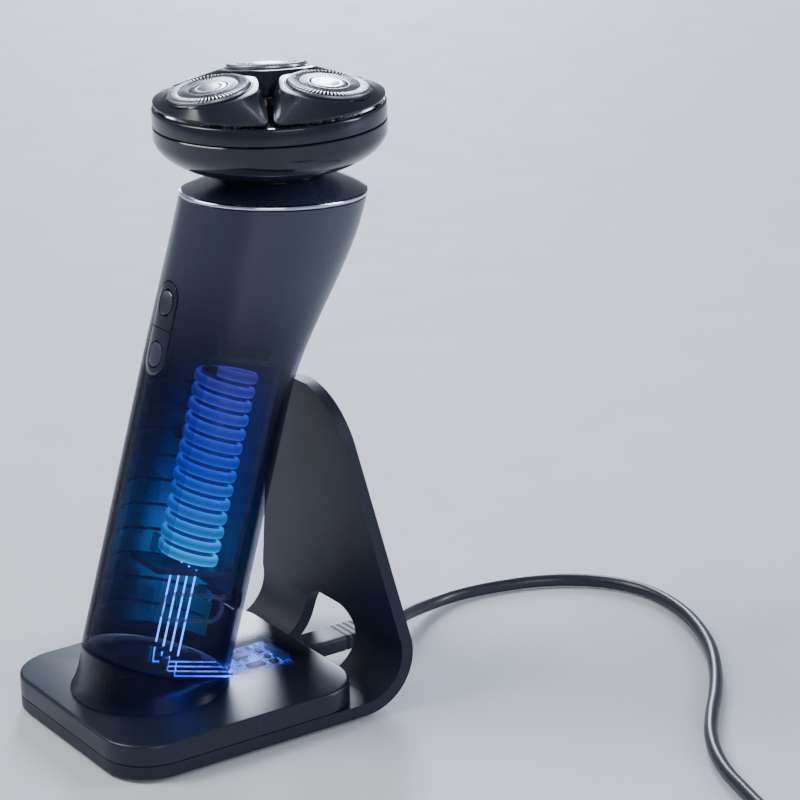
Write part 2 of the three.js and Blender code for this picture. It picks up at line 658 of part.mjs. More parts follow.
function makeKey(z, depth) {
  return common(gripSkin(PANEL_RISE + 0.1, depth), onFront(2 * KEY_RADIUS, 2 * KEY_RADIUS, z));
}

function makeButton() {
  const z = PANEL_Z + KEY_OFFSET;
  const stem = rod(KEY_STEM, 0, 2, 12)
    .rotateX(-Math.PI / 2)
    .translate(0, -GRIP_RADIUS + PANEL_DEPTH - 0.6, z);
  return join(makeKey(z, PANEL_DEPTH), stem);
}

function makeTrim() {
  const low = RIM_FRONT - TRIM_HEIGHT;
  const outside = [gripRing(low, -0.1), gripRing(RIM_FRONT, -0.1)];
  const inside = [gripRing(RIM_FRONT, GRIP_WALL), gripRing(low, GRIP_WALL)];
  return loft([...outside, ...inside], true);
}

// The shoulder closes the grip's sloping top and rises to a level collar round the neck.
function levelRing(radius, z) {
  return circleRing(radius, z, SIDES, [0, HEAD_Y]).map((p) => p.applyMatrix4(toHandle));
}

function makeShoulder() {
  const hole = BOOT_RADIUS + SLIDE;
  return loft([
    gripRing(RIM_FRONT, 0.15, GAP),
    levelRing(COLLAR_RADIUS, COLLAR_Z - 0.5),
    levelRing(COLLAR_RADIUS - 0.9, COLLAR_Z + 0.3),
    levelRing(hole, COLLAR_Z + 0.3),
    levelRing(hole, COLLAR_Z - SHOULDER_WALL),
    gripRing(RIM_FRONT, GRIP_WALL + 0.6, GAP),
  ], true);
}

function makeBottomCap() {
  const outer = KEEP_RADIUS - GAP;
  const recess = BOSS_RADIUS + 0.6;
  const floor = CAP_HEIGHT + GAP - CAP_FLOOR;
  const depth = Math.max(floor, BOSS_RISE + CONTACT_RISE + GAP);
  return cut(rod(outer, GAP, GAP + CAP_HEIGHT, SIDES), rod(recess, -1, depth, 28));
}

function makePort() {
  const mouth = KEEP_RADIUS - 0.9;
  const outer = plugAlongY(PORT_WIDTH, PORT_HEIGHT, mouth - PORT_DEPTH, mouth, PORT_Z);
  const [width, height] = [PORT_WIDTH - 2 * PORT_WALL, PORT_HEIGHT - 2 * PORT_WALL];
  const inner = plugAlongY(width, height, mouth - PORT_DEPTH + 1, mouth + 1, PORT_Z);
  return cut(outer, inner);
}

function makeFlap() {
  return common(gripSkin(0.1, FLAP_THICKNESS), onBack(FLAP_WIDTH, FLAP_HEIGHT, PORT_Z));
}

piece(handle, 'grip_shell', makeGripShell(), paintedMetal());
piece(handle, 'bottom_cap', makeBottomCap(), darkPlastic());
piece(handle, 'control_bezel', makeBezel(), glossPlastic());
piece(handle, 'power_button', makeButton(), glossPlastic());
piece(handle, 'display_window', makeKey(PANEL_Z - KEY_OFFSET, PANEL_DEPTH), glossPlastic());
piece(handle, 'rim_ring', makeTrim(), steel());
piece(handle, 'shoulder_cover', makeShoulder(), darkPlastic());
piece(handle, 'usb_port', makePort(), steel());
piece(handle, 'port_flap', makeFlap(), rubber());

// ---- handle: inside -------------------------------------------------------------------------
function makeGlowCoil() {
  const pitch = COIL_LENGTH / COIL_TURNS;
  const bore = CELL_RADIUS + 0.3;
  const profile = [[bore, COIL_BOTTOM], [COIL_RADIUS - COIL_WIRE / 2, COIL_BOTTOM]];
  for (let k = 0; k < COIL_TURNS; k++) {
    const middle = COIL_BOTTOM + (k + 0.5) * pitch;
    profile.push([COIL_RADIUS, middle]);
    if (k < COIL_TURNS - 1) profile.push([COIL_RADIUS - COIL_WIRE / 2, middle + pitch / 2]);
  }
  profile.push([COIL_RADIUS - COIL_WIRE / 2, COIL_BOTTOM + COIL_LENGTH], [bore, COIL_BOTTOM + COIL_LENGTH]);
  return turnedRing(profile, 16).translate(0, CELL_Y, 0);
}

function makeChassis() {
  const [low, high] = [PORT_Z + PORT_HEIGHT / 2 + GAP, CELL_BOTTOM + CELL_LENGTH + 8];
  const shelfFront = MAIN_BOARD_Y + MAIN_BOARD_THICKNESS + GAP;
  const shelf = (z) => slab(CHASSIS_WIDTH, CHASSIS_Y - shelfFront + 0.4, z, z + CHASSIS_THICKNESS,
    0, (CHASSIS_Y + shelfFront + 0.4) / 2);
  const lowShelf = COIL_BOTTOM - GAP - CHASSIS_THICKNESS;
  const highShelf = COIL_BOTTOM + COIL_LENGTH + GAP + 1;
  const spine = slab(CHASSIS_WIDTH, CHASSIS_THICKNESS, low, high, 0, CHASSIS_Y + CHASSIS_THICKNESS / 2);
  const leadSlot = slab(LEAD_COUNT * LEAD_SPACING - 1.5, 3, lowShelf - 1, lowShelf + 4, 0, CELL_Y);
  const ledge = cut(shelf(lowShelf), leadSlot);
  return join(spine, ledge, shelf(highShelf));
}

function makeChargeLead(x) {
  return slab(LEAD_THICKNESS, LEAD_THICKNESS, CAP_HEIGHT + 2 * GAP, COIL_BOTTOM - GAP, x, CELL_Y);
}

const switchFront = -GRIP_RADIUS + PANEL_DEPTH - 0.6 + 2 + KEY_TRAVEL + GAP;

piece(handle, 'chassis', makeChassis(), whitePlastic());
const cell = rod(CELL_RADIUS, CELL_BOTTOM, CELL_BOTTOM + CELL_LENGTH, 24).translate(0, CELL_Y, 0);
piece(handle, 'battery_cell', cell, finish(0x20407a, 0.4));
piece(handle, 'glow_coil', makeGlowCoil(), glow());
leadPlaces.forEach((x, k) => piece(handle, `charge_lead_${k + 1}`, makeChargeLead(x), glow()));
const mainBoardMiddle = MAIN_BOARD_Y + MAIN_BOARD_THICKNESS / 2;
const mainBoard = slab(MAIN_BOARD_WIDTH, MAIN_BOARD_THICKNESS, MAIN_BOARD_BOTTOM, MAIN_BOARD_TOP,
  0, mainBoardMiddle);
piece(handle, 'main_board', mainBoard, board());
const switchBack = MAIN_BOARD_Y - GAP;
const switchZ = PANEL_Z + KEY_OFFSET - SWITCH_SIZE / 2;
const tactSwitch = slab(SWITCH_SIZE, switchBack - switchFront, switchZ, switchZ + SWITCH_SIZE,
  0, (switchBack + switchFront) / 2);
piece(handle, 'tact_switch', tactSwitch, darkPlastic());

// ---- neck: boot and motor, on the head's upright line -----------------------------------------
const motorTop = MOTOR_BOTTOM + MOTOR_LENGTH;
const bootTop = HEAD_Z - BOWL_DEPTH - GAP;

function makeBoot() {
  return turnedRing([
    [BOOT_BORE, motorTop + 4], [BOOT_RADIUS - 0.6, motorTop + 4], [BOOT_RADIUS, motorTop + 5],
    [BOOT_RADIUS, COLLAR_Z + 0.6], [BOOT_RADIUS - 0.5, COLLAR_Z + 1.1], [BOOT_RADIUS - 0.5, bootTop],
    [BOOT_BORE, bootTop],
  ], 28);
}

function makeMotorCan() {
  const profile = [
    [0, MOTOR_BOTTOM], [MOTOR_RADIUS - 1, MOTOR_BOTTOM], [MOTOR_RADIUS, MOTOR_BOTTOM + 1],
    [MOTOR_RADIUS, motorTop], [SHAFT_RADIUS + SLIDE, motorTop], [SHAFT_RADIUS + SLIDE, motorTop - 4],
    [0, motorTop - 4],
  ];
  return turned(profile, 28);
}

const couplerLow = HEAD_Z - 11.5;
const couplerHigh = HEAD_Z - 5.5;

function makeMotorShaft() {
  const shaft = rod(SHAFT_RADIUS, motorTop - 3.5, couplerLow + 1, 12);
  const collar = rod(3.4, couplerLow - 3, couplerLow, 16);
  return join(shaft, collar, slab(2.6, 2.6, couplerLow - 1, couplerHigh));
}

piece(neck, 'neck_boot', makeBoot(), rubber());
piece(neck, 'motor_can', makeMotorCan(), steel());
piece(neck, 'motor_bracket', turnedRing([[3, motorTop + GAP], [MOTOR_RADIUS + 1.6, motorTop + GAP],
  [MOTOR_RADIUS + 1.6, motorTop + 1.8], [3, motorTop + 1.8]], 28), darkPlastic());
piece(neck, 'motor_shaft', makeMotorShaft(), brass());

// ---- head: bowl, deck, gear train --------------------------------------------------------------
// Outside of the bowl from its mouth to the seam, and the same line drawn in by the wall.
function bowlLine(inset) {
  const steps = 6;
  const line = [[BOWL_MOUTH, -BOWL_DEPTH + inset], [13.5 - inset * 0.3, -BOWL_DEPTH + inset]];
  for (let k = 1; k <= steps; k++) {
    const angle = (Math.PI / 2) * (k / steps);
    const r = 13.5 + (HEAD_RADIUS - 13.5) * Math.sin(angle);
    const z = -3 - (BOWL_DEPTH - 3) * Math.cos(angle) ** 1.15;
    line.push([r - inset * Math.sin(angle), z + inset * Math.cos(angle)]);
  }
  line.push([HEAD_RADIUS - inset, 0]);
  return line;
}

function makeHeadShell() {
  return turnedRing([...bowlLine(0), ...bowlLine(HEAD_WALL).reverse()], 32);
}

const podAngles = Array.from({ length: POD_COUNT }, (_, k) => Math.PI + (2 * Math.PI * k) / POD_COUNT);
const podPoint = (angle, radius) => [radius * Math.sin(angle), radius * Math.cos(angle)];

function makeHeadFrame() {
  const deck = GAP + DECK_THICKNESS;
  const lip = HEAD_RADIUS - HEAD_WALL;
  const body = turned([
    [0, GAP], [HEAD_RADIUS, GAP],
    [HEAD_RADIUS, GAP + BAND_HEIGHT - 0.4], [HEAD_RADIUS - 0.4, GAP + BAND_HEIGHT],
    [lip, GAP + BAND_HEIGHT], [lip, deck], [0, deck],
  ], 32);
  const holes = podAngles.map((angle) => rod(SPINDLE_RADIUS + SLIDE + 0.4, -2, deck + 2, 16)
    .translate(...podPoint(angle, POD_CIRCLE), 0));
  return cut(body, ...holes);
}

const plateTop = GEAR_Z - GAP;
const plateBottom = plateTop - 1.5;
const hubRadius = 3.4;

function makeGearPlate() {
  const holes = podAngles.map((angle) => rod(SPINDLE_RADIUS + SLIDE, plateBottom - 1, plateTop + 1, 16)
    .translate(...podPoint(angle, POD_CIRCLE), 0));
  const hubHole = rod(hubRadius + SLIDE + 0.3, plateBottom - 1, plateTop + 1, 20);
  return cut(rod(HEAD_RADIUS - 5.4, plateBottom, plateTop, 36), hubHole, ...holes);
}

function gearBlank(teeth, pitchRadius, bottom, phase) {
  const [tip, root] = [pitchRadius + 0.7 * MODULE, pitchRadius - 1.1 * MODULE];
  const pitch = (2 * Math.PI) / teeth;
  const half = (share, radius) => ((share * Math.PI * MODULE) / 2 - BACKLASH / 2) / radius;
  const shape = new THREE.Shape();
  for (let k = 0; k < teeth; k++) {
    const middle = phase + k * pitch;
    const [footHalf, tipHalf] = [half(0.75, root), half(0.32, tip) + 0.02];
    const corners = [[root, -footHalf], [tip, -tipHalf], [tip, tipHalf], [root, footHalf]];
    corners.forEach(([r, turn], n) => {
      const point = [r * Math.sin(middle + turn), r * Math.cos(middle + turn)];
      if (k === 0 && n === 0) shape.moveTo(...point);
      else shape.lineTo(...point);
    });
  }
  return prism(shape, GEAR_THICKNESS).translate(0, 0, bottom);
}

// A tooth of the centre gear points at each pod, and each drive gear turns a gap towards it.
function makeCentreGear() {
  const hubEnd = couplerLow - HEAD_Z + 2;
  const socket = slab(4, 4, hubEnd - 1, couplerHigh - HEAD_Z + 1);
  const blank = gearBlank(CENTRE_TEETH, PITCH_CENTRE, GEAR_Z, Math.PI);
  return cut(join(blank, rod(hubRadius, hubEnd, GEAR_Z + 0.5)), socket);
}

function makeDriveGear(angle) {
  const gap = angle + Math.PI + Math.PI / DRIVE_TEETH;
  const blank = gearBlank(DRIVE_TEETH, PITCH_DRIVE, GEAR_Z, gap);
  const spindle = rod(SPINDLE_RADIUS, plateBottom + 0.2, POD_PIVOT - 0.5, 12);
  const square = slab(SPINDLE_HEAD, SPINDLE_HEAD, POD_PIVOT - SPINDLE_HEAD / 2, POD_PIVOT + SPINDLE_HEAD / 2);
  return join(blank, spindle, square);
}

piece(head, 'head_shell', makeHeadShell(), glossPlastic());
piece(head, 'head_frame', makeHeadFrame(), glossPlastic());
piece(head, 'gear_plate', makeGearPlate(), whitePlastic());
piece(head, 'centre_gear', makeCentreGear(), whitePlastic());

// ---- head: pods, guards, cutters ---------------------------------------------------------------
// The pod frame stands on the pivot: y points outwards and z leans outwards by POD_LEAN.
function podFrame() {
  const frame = new THREE.Group();
  frame.position.set(0, POD_CIRCLE, POD_PIVOT);
  frame.rotation.x = -THREE.MathUtils.degToRad(POD_LEAN);
  frame.updateMatrix();
  return frame;
}

// Foot of a pod: a third of the head's disc, with soft corners, seen from the pod's own middle.
function podFootRing(shrink, height) {
  const toPod = podFrame().matrix.clone().invert();
  const halfAngle = Math.PI / POD_COUNT;
  const side = POD_CIRCLE * Math.sin(halfAngle) - POD_SPLIT - shrink;
  const outer = HEAD_RADIUS - 0.4 - shrink;
  const sharpness = 9;
  return Array.from({ length: SIDES }, (_, k) => {
    const angle = (2 * Math.PI * k) / SIDES;
    const [x, y] = [Math.sin(angle), Math.cos(angle)];
    const reachArc = -POD_CIRCLE * y + Math.sqrt((POD_CIRCLE * y) ** 2 + outer ** 2 - POD_CIRCLE ** 2);
    const facing = Math.abs(x) * Math.cos(halfAngle) - y * Math.sin(halfAngle);
    const reachSide = facing > 1e-3 ? side / facing : 1e3;
    const reach = (reachArc ** -sharpness + reachSide ** -sharpness) ** (-1 / sharpness);
    return new THREE.Vector3(x * reach, POD_CIRCLE + y * reach, height).applyMatrix4(toPod);
  });
}

function makePod() {
  const foot = GAP + BAND_HEIGHT + POD_FLOAT;
  const seat = GUARD_RADIUS + GAP;
  return loft([
    podFootRing(0.5, foot),
    podFootRing(0, foot + 0.7),
    circleRing(POD_TOP_RADIUS, POD_TOP - 0.3, SIDES),
    circleRing(POD_TOP_RADIUS - 0.15, POD_TOP, SIDES),
    circleRing(seat, POD_TOP, SIDES),
    circleRing(seat, GUARD_SEAT, SIDES),
    circleRing(BORE_RADIUS, GUARD_SEAT, SIDES),
    circleRing(BORE_RADIUS, POD_BORE_FLOOR, SIDES),
  ], true);
}

const guardTop = POD_TOP + GUARD_RISE;

function makeGuard() {
  const inner = guardTop - GUARD_SKIN;
  return turnedRing([
    [GUARD_RADIUS - GUARD_SKIN, GUARD_SEAT + GAP], [GUARD_RADIUS, GUARD_SEAT + GAP],
    [GUARD_RADIUS, guardTop - 0.5], [GUARD_RADIUS - 0.5, guardTop],
    [8.2, guardTop], [7.9, guardTop - 0.25], [7.6, guardTop], [GUARD_HOLE, guardTop],
    [GUARD_HOLE, inner], [GUARD_RADIUS - GUARD_SKIN, inner],
  ], 24);
}

function makeGuardCap() {
  const radius = GUARD_HOLE - GAP;
  return turned([
    [0, guardTop - 0.9], [radius, guardTop - 0.9], [radius, guardTop - 0.1], [radius - 0.5, guardTop + 0.2],
    [0, guardTop + 0.25],
  ], 24);
}

// A cutter: blades on a hub that the spindle's square head turns from inside.
function makeCutter() {
  const bladeTop = guardTop - GUARD_SKIN - 0.6;
  const bladeBottom = bladeTop - 1.8;
  const shape = new THREE.Shape();
  const pitch = (2 * Math.PI) / CUTTER_BLADES;
  for (let k = 0; k < CUTTER_BLADES; k++) {
    const corners = [[5, -0.3], [CUTTER_RADIUS, -0.06], [CUTTER_RADIUS, 0.1], [5, 0.16]];
    corners.forEach(([r, share], n) => {
      const turn = (k + share) * pitch;
      if (k === 0 && n === 0) shape.moveTo(r * Math.sin(turn), r * Math.cos(turn));
      else shape.lineTo(r * Math.sin(turn), r * Math.cos(turn));
    });
  }
  const hub = rod(3.6, -1.2, bladeBottom + 0.5, 20);
  const blades = prism(shape, bladeTop - bladeBottom).translate(0, 0, bladeBottom);
  return cut(join(blades, hub), slab(HUB_SOCKET, HUB_SOCKET, -2, 1.7));
}

podAngles.forEach((angle, k) => {
  const [x, y] = podPoint(angle, POD_CIRCLE);
  const gear = piece(head, `drive_gear_${k + 1}`, makeDriveGear(angle), whitePlastic());
  gear.position.set(x, y, 0);
  const turn = new THREE.Group();
  turn.rotation.z = -angle;
  const frame = podFrame();
  turn.add(frame);
  head.add(turn);
  piece(frame, `pod_${k + 1}`, makePod(), glossPlastic());
  piece(frame, `guard_${k + 1}`, makeGuard(), steel());
  piece(frame, `guard_cap_${k + 1}`, makeGuardCap(), steel());
  piece(frame, `cutter_${k + 1}`, makeCutter(), steel());
});

export default shaver;
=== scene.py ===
import math

import bmesh
import bpy
from mathutils import Matrix, Vector


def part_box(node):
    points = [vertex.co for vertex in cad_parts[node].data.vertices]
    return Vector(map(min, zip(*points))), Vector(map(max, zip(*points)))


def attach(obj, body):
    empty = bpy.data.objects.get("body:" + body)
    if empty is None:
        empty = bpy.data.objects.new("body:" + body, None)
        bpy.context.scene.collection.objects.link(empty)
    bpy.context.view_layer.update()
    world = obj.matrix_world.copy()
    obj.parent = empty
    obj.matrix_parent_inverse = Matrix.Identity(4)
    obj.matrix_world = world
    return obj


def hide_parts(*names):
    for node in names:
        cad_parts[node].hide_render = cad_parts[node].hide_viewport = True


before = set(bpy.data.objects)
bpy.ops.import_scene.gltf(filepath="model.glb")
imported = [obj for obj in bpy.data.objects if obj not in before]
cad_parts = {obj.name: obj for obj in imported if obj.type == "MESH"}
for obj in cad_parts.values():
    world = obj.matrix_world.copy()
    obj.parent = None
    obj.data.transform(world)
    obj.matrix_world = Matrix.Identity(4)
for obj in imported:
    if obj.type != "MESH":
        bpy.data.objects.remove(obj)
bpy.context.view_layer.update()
MM = 0.001

# The viewpoint: slightly above the stand, off its right front corner, with a long lens.
# It is made first, together with the lead, so that the lead's unseen length stays out of view.
yaw, pitch, roll = math.radians(56.9), math.radians(19.22), math.radians(-1.86)
across = Vector((math.cos(yaw), math.sin(yaw), 0))
back = Vector((math.sin(yaw) * math.cos(pitch), -math.cos(yaw) * math.cos(pitch), math.sin(pitch)))
upward = back.cross(across)
camera_x = across * math.cos(roll) + upward * math.sin(roll)
camera_y = upward * math.cos(roll) - across * math.sin(roll)
CAMERA_PLACE = Vector((647.57, -348.56, 343.06)) * MM
camera = bpy.data.objects.new("camera", bpy.data.cameras.new("camera"))
camera.data.lens = 131.86
camera.data.sensor_width = 36
camera.data.clip_end = 20
turn = Matrix((camera_x, camera_y, back)).transposed().to_4x4()
camera.matrix_world = Matrix.Translation(CAMERA_PLACE) @ turn
bpy.context.scene.collection.objects.link(camera)
bpy.context.scene.camera = camera


# The lead: a round cord with a smooth PVC jacket, soldered to the stand's board and moulded into
# its connector. It drops to the table, curves round behind the shaver and comes forward again.
def shade(name, colour, roughness, metallic=0.0, coat=0.0, speckle=0.12, scale=900, bump=0.06, spread=0.08,
          specular=0.5):
    """A procedural finish: colour that drifts a little, fine grain, and roughness that varies."""
    material = bpy.data.materials.new(name)
    material.use_nodes = True
    nodes, links = material.node_tree.nodes, material.node_tree.links
    shader = nodes["Principled BSDF"]
    shader.inputs["Metallic"].default_value = metallic
    shader.inputs["Coat Weight"].default_value = coat
    shader.inputs["Specular IOR Level"].default_value = specular
    shader.inputs["Coat Roughness"].default_value = 0.08
    place = nodes.new("ShaderNodeTexCoord")
    grain = nodes.new("ShaderNodeTexNoise")
    grain.inputs["Scale"].default_value = scale
    grain.inputs["Detail"].default_value = 3
    drift = nodes.new("ShaderNodeTexNoise")
    drift.inputs["Scale"].default_value = 45
    drift.inputs["Detail"].default_value = 4
    for noise in (grain, drift):
        links.new(place.outputs["Object"], noise.inputs["Vector"])
    tone = nodes.new("ShaderNodeValToRGB")
    darker = [channel * (1 - speckle * 1.6) for channel in colour[:3]]
    lighter = [min(1, channel * (1 + speckle * 1.6) + 0.002) for channel in colour[:3]]
    tone.color_ramp.elements[0].position = 0.35
    tone.color_ramp.elements[0].color = (*darker, 1)
    tone.color_ramp.elements[1].position = 0.65
    tone.color_ramp.elements[1].color = (*lighter, 1)
    links.new(grain.outputs["Fac"], tone.inputs["Fac"])
    links.new(tone.outputs["Color"], shader.inputs["Base Color"])
    spread_map = nodes.new("ShaderNodeMapRange")
    spread_map.inputs["To Min"].default_value = max(0.02, roughness - spread)
    spread_map.inputs["To Max"].default_value = min(1, roughness + spread)
    links.new(drift.outputs["Fac"], spread_map.inputs["Value"])
    links.new(spread_map.outputs["Result"], shader.inputs["Roughness"])
    relief = nodes.new("ShaderNodeBump")
    relief.inputs["Strength"].default_value = bump
    relief.inputs["Distance"].default_value = 0.0001
    links.new(grain.outputs["Fac"], relief.inputs["Height"])
    links.new(relief.outputs["Normal"], shader.inputs["Normal"])
    return material


def smooth_route(points, step):
    """A centripetal curve through given points, sampled about every step."""
    points = [Vector(p) for p in points]
    points = [2 * points[0] - points[1], *points, 2 * points[-1] - points[-2]]
    line = []
    for p0, p1, p2, p3 in zip(points, points[1:], points[2:], points[3:]):
        t1 = (p1 - p0).length ** 0.5
        t2 = t1 + (p2 - p1).length ** 0.5
        t3 = t2 + (p3 - p2).length ** 0.5
        count = max(2, int((p2 - p1).length / step))
        for i in range(count):
            t = t1 + (t2 - t1) * i / count
            a1 = p0 * ((t1 - t) / t1) + p1 * (t / t1)
            a2 = p1 * ((t2 - t) / (t2 - t1)) + p2 * ((t - t1) / (t2 - t1))
            a3 = p2 * ((t3 - t) / (t3 - t2)) + p3 * ((t - t2) / (t3 - t2))
            b1 = a1 * ((t2 - t) / t2) + a2 * (t / t2)
            b2 = a2 * ((t3 - t) / (t3 - t1)) + a3 * ((t - t1) / (t3 - t1))
            line.append(b1 * ((t2 - t) / (t2 - t1)) + b2 * ((t - t1) / (t2 - t1)))
    return [*line, points[-2]]


CORD = 3.8 * MM
cord_points = [
    (0, 64.0, 7.4), (0, 66.6, 7.4), (-2.4, 72, 6.7), (-6.8, 78.4, 5.2), (-11, 85.4, 3.6), (-13.9, 92.6, 2.5),
    (-15.2, 100, 2.1), (-14.9, 108, 1.95), (-13.2, 116, 1.95), (-10.4, 124.6, 1.95), (-6, 132.6, 1.95),
    (0.2, 139.6, 1.95), (7.6, 144.7, 1.95), (16, 147.6, 1.95), (25, 148, 1.95), (36.5, 146.2, 1.95),
    (48.5, 142.1, 1.95), (61, 135.8, 1.95), (73, 127.5, 1.95), (84, 118.3, 1.95), (93.6, 109.2, 1.95),
    (103, 101.2, 1.95), (112.6, 95, 1.95), (122.5, 90.4, 1.95), (133, 87.2, 1.95), (143.5, 84.3, 1.95),
    (152, 82, 1.95), (159.8, 79.9, 1.95),
]
COIL_CENTRE = Vector((168.5, 50.5, 0)) * MM
COIL_MID = 22.3 * MM
COIL_START = math.radians(75)
COIL_TURNS = 5 + 75 / 360
coil_low = 1.95 * MM
coil_inner = COIL_MID - 1.21 * CORD


def coil_point(turns):
    """The cord lies in a flat spiral inwards, climbs a diameter, and winds outwards on top."""
    height = coil_low
    if turns < 2:
        radius = COIL_MID + CORD - CORD * turns
    elif turns < 3:
        radius = COIL_MID - CORD + (coil_inner - COIL_MID + CORD) * (turns - 2)
        height = coil_low + CORD * math.sqrt(1 - (3 - turns) ** 2)
    else:
        radius = coil_inner + CORD * (turns - 3)
        height = coil_low + CORD
    angle = COIL_START - 2 * math.pi * turns
    return COIL_CENTRE + Vector((radius * math.cos(angle), radius * math.sin(angle), height))


line = smooth_route([Vector(p) * MM for p in cord_points], 1.5 * MM)
steps_per_turn = 72
line += [coil_point(k / steps_per_turn) for k in range(int(COIL_TURNS * steps_per_turn) + 1)]
coil_end = coil_point(COIL_TURNS)
plug_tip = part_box("plug_body")[1]
plug_axis = Vector((coil_end.x, plug_tip[1], 4 * MM))
for k in range(1, 9):
    share = k / 8
    drop = share * share * (3 - 2 * share)
    line.append(Vector((coil_end.x, coil_end.y + (plug_axis.y - 3 * MM - coil_end.y) * share,
                        coil_end.z + (plug_axis.z - coil_end.z) * drop)))
curve = bpy.data.curves.new("cord_line", "CURVE")
curve.dimensions = "3D"
curve.bevel_depth = CORD / 2
curve.bevel_resolution = 5
curve.use_fill_caps = True
spline = curve.splines.new("POLY")
spline.points.add(len(line) - 1)
for knot, point in zip(spline.points, line):
    knot.co = (*point, 1)
cord = bpy.data.objects.new("lead_cord", curve)
bpy.context.scene.collection.objects.link(cord)
cord_jacket = shade("cord_jacket", (0.010, 0.012, 0.024), 0.4, coat=0.1, scale=700, bump=0.04, specular=0.4)
curve.materials.append(cord_jacket)
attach(cord, "stand")
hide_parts("cord", "cord_coil")


# Foot pad: a die-cut sheet of anti-slip rubber stuck under the plate, its edge slightly rounded
# and its surface finely grained.
def piece(name, bm, material, body, nodes=(), edge=0.0, sharp=32):
    """Puts a finished mesh in the scene on its body, in place of the CAD nodes it stands for."""
    mesh = bpy.data.meshes.new(name)
    bm.normal_update()
    bm.to_mesh(mesh)
    bm.free()
    mesh.polygons.foreach_set("use_smooth", [True] * len(mesh.polygons))
    mesh.set_sharp_from_angle(angle=math.radians(sharp))
    obj = bpy.data.objects.new(name, mesh)
    bpy.context.scene.collection.objects.link(obj)
    mesh.materials.append(material)
    if edge:
        bevel = obj.modifiers.new("soft_edges", "BEVEL")
        bevel.width = edge * MM
        bevel.segments = 3
        bevel.limit_method = "ANGLE"
        bevel.angle_limit = math.radians(sharp)
        bevel.use_clamp_overlap = True
    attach(obj, body)
    if nodes:
        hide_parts(*nodes)
    return obj


def arc(centre, radius, start, end, steps):
    """Points of an arc in a flat outline, both ends included, angles in degrees."""
    angles = [math.radians(start + (end - start) * i / steps) for i in range(steps + 1)]
    return [(centre[0] + radius * math.cos(a), centre[1] + radius * math.sin(a)) for a in angles]


def rounded(width, depth, corner, steps=12):
    """The outline of a rectangle with round corners."""
    w, d = width / 2 - corner, depth / 2 - corner
    return [*arc((w, -d), corner, -90, 0, steps), *arc((w, d), corner, 0, 90, steps),
            *arc((-w, d), corner, 90, 180, steps), *arc((-w, -d), corner, 180, 270, steps)]


def oblong(left, right, low, high):
    """The outline of a plain rectangle."""
    return [(left, low), (right, low), (right, high), (left, high)]


UP = Matrix.Identity(4)
ALONG_Y = Matrix(((1, 0, 0, 0), (0, 0, -1, 0), (0, 1, 0, 0), (0, 0, 0, 1)))     # outline x, z; height -y
ALONG_X = Matrix(((0, 0, 1, 0), (1, 0, 0, 0), (0, 1, 0, 0), (0, 0, 0, 1)))     # outline y, z; height x


def prism(outline, low, high, axes=UP):
    """A flat outline in mm, drawn out from low to high along its own normal."""
    bm = bmesh.new()
    corners = [bm.verts.new((x * MM, y * MM, low * MM)) for x, y in outline]
    bmesh.ops.remove_doubles(bm, verts=corners, dist=1e-7)
    bm.faces.new(bm.verts)
    drawn = bmesh.ops.extrude_face_region(bm, geom=bm.faces[:])
    tops = [v for v in drawn["geom"] if isinstance(v, bmesh.types.BMVert)]
    bmesh.ops.translate(bm, verts=tops, vec=(0, 0, (high - low) * MM))
    bmesh.ops.transform(bm, matrix=axes, verts=bm.verts)
    bmesh.ops.recalc_face_normals(bm, faces=bm.faces)
    return bm


BASE_WIDTH, BASE_DEPTH, BASE_CORNER = 72.6, 74, 14
foot_rubber = shade("foot_rubber", (0.03, 0.03, 0.034), 0.85, scale=1500, bump=0.4)
piece("foot_sheet", prism(rounded(BASE_WIDTH - 6, BASE_DEPTH - 6, BASE_CORNER - 3), 0, 0.8), foot_rubber,
      "stand", ["foot_pad"], edge=0.2)


# Bent plate: one piece of 3.5 mm steel under the block, bent up behind the shaver and drawn in to a
# round top, with a window cut through the bend for the lead. Powder coated, fine matt dark blue-grey.
def carve(body, *tools, operation="DIFFERENCE"):
    """The body with each tool's shape cut away, or only what they share."""
    for tool in tools:
        blanks = []
        for shape in (body, tool):
            mesh = bpy.data.meshes.new("blank")
            shape.to_mesh(mesh)
            shape.free()
            blanks.append(bpy.data.objects.new("blank", mesh))
            bpy.context.scene.collection.objects.link(blanks[-1])
        cut = blanks[0].modifiers.new("cut", "BOOLEAN")
        cut.object = blanks[1]
        cut.operation = operation
        cut.solver = "EXACT"
        view = bpy.context.evaluated_depsgraph_get()
        body = bmesh.new()
        body.from_mesh(blanks[0].evaluated_get(view).to_mesh())
        for blank in blanks:
            bpy.data.objects.remove(blank)
    return body


PLATE_Z, PLATE = 1.1, 3.5
BEND_OUTER, BEND_LEAN, BEND_Y = 15.5, 6, 36
UPRIGHT, UPRIGHT_TOP, TAPER_START = 69, 21, 19
bend = (BEND_Y, PLATE_Z + BEND_OUTER)
lean = Vector((-math.sin(math.radians(BEND_LEAN)), math.cos(math.radians(BEND_LEAN)))) * UPRIGHT
outer_arc = arc(bend, BEND_OUTER, -90, BEND_LEAN, 40)
inner_arc = arc(bend, BEND_OUTER - PLATE, BEND_LEAN, -90, 40)
plate_side = [(-BASE_DEPTH / 2, PLATE_Z), *outer_arc,
              (outer_arc[-1][0] + lean.x, outer_arc[-1][1] + lean.y),
              (inner_arc[0][0] + lean.x, inner_arc[0][1] + lean.y),
              *inner_arc, (-BASE_DEPTH / 2, PLATE_Z + PLATE)]
half = BASE_WIDTH / 2
top_centre = outer_arc[-1][1] + UPRIGHT * 0.9945 - UPRIGHT_TOP
reach = math.hypot(half, top_centre - TAPER_START)
touch = math.degrees(math.atan2(TAPER_START - top_centre, half) + math.acos(UPRIGHT_TOP / reach))
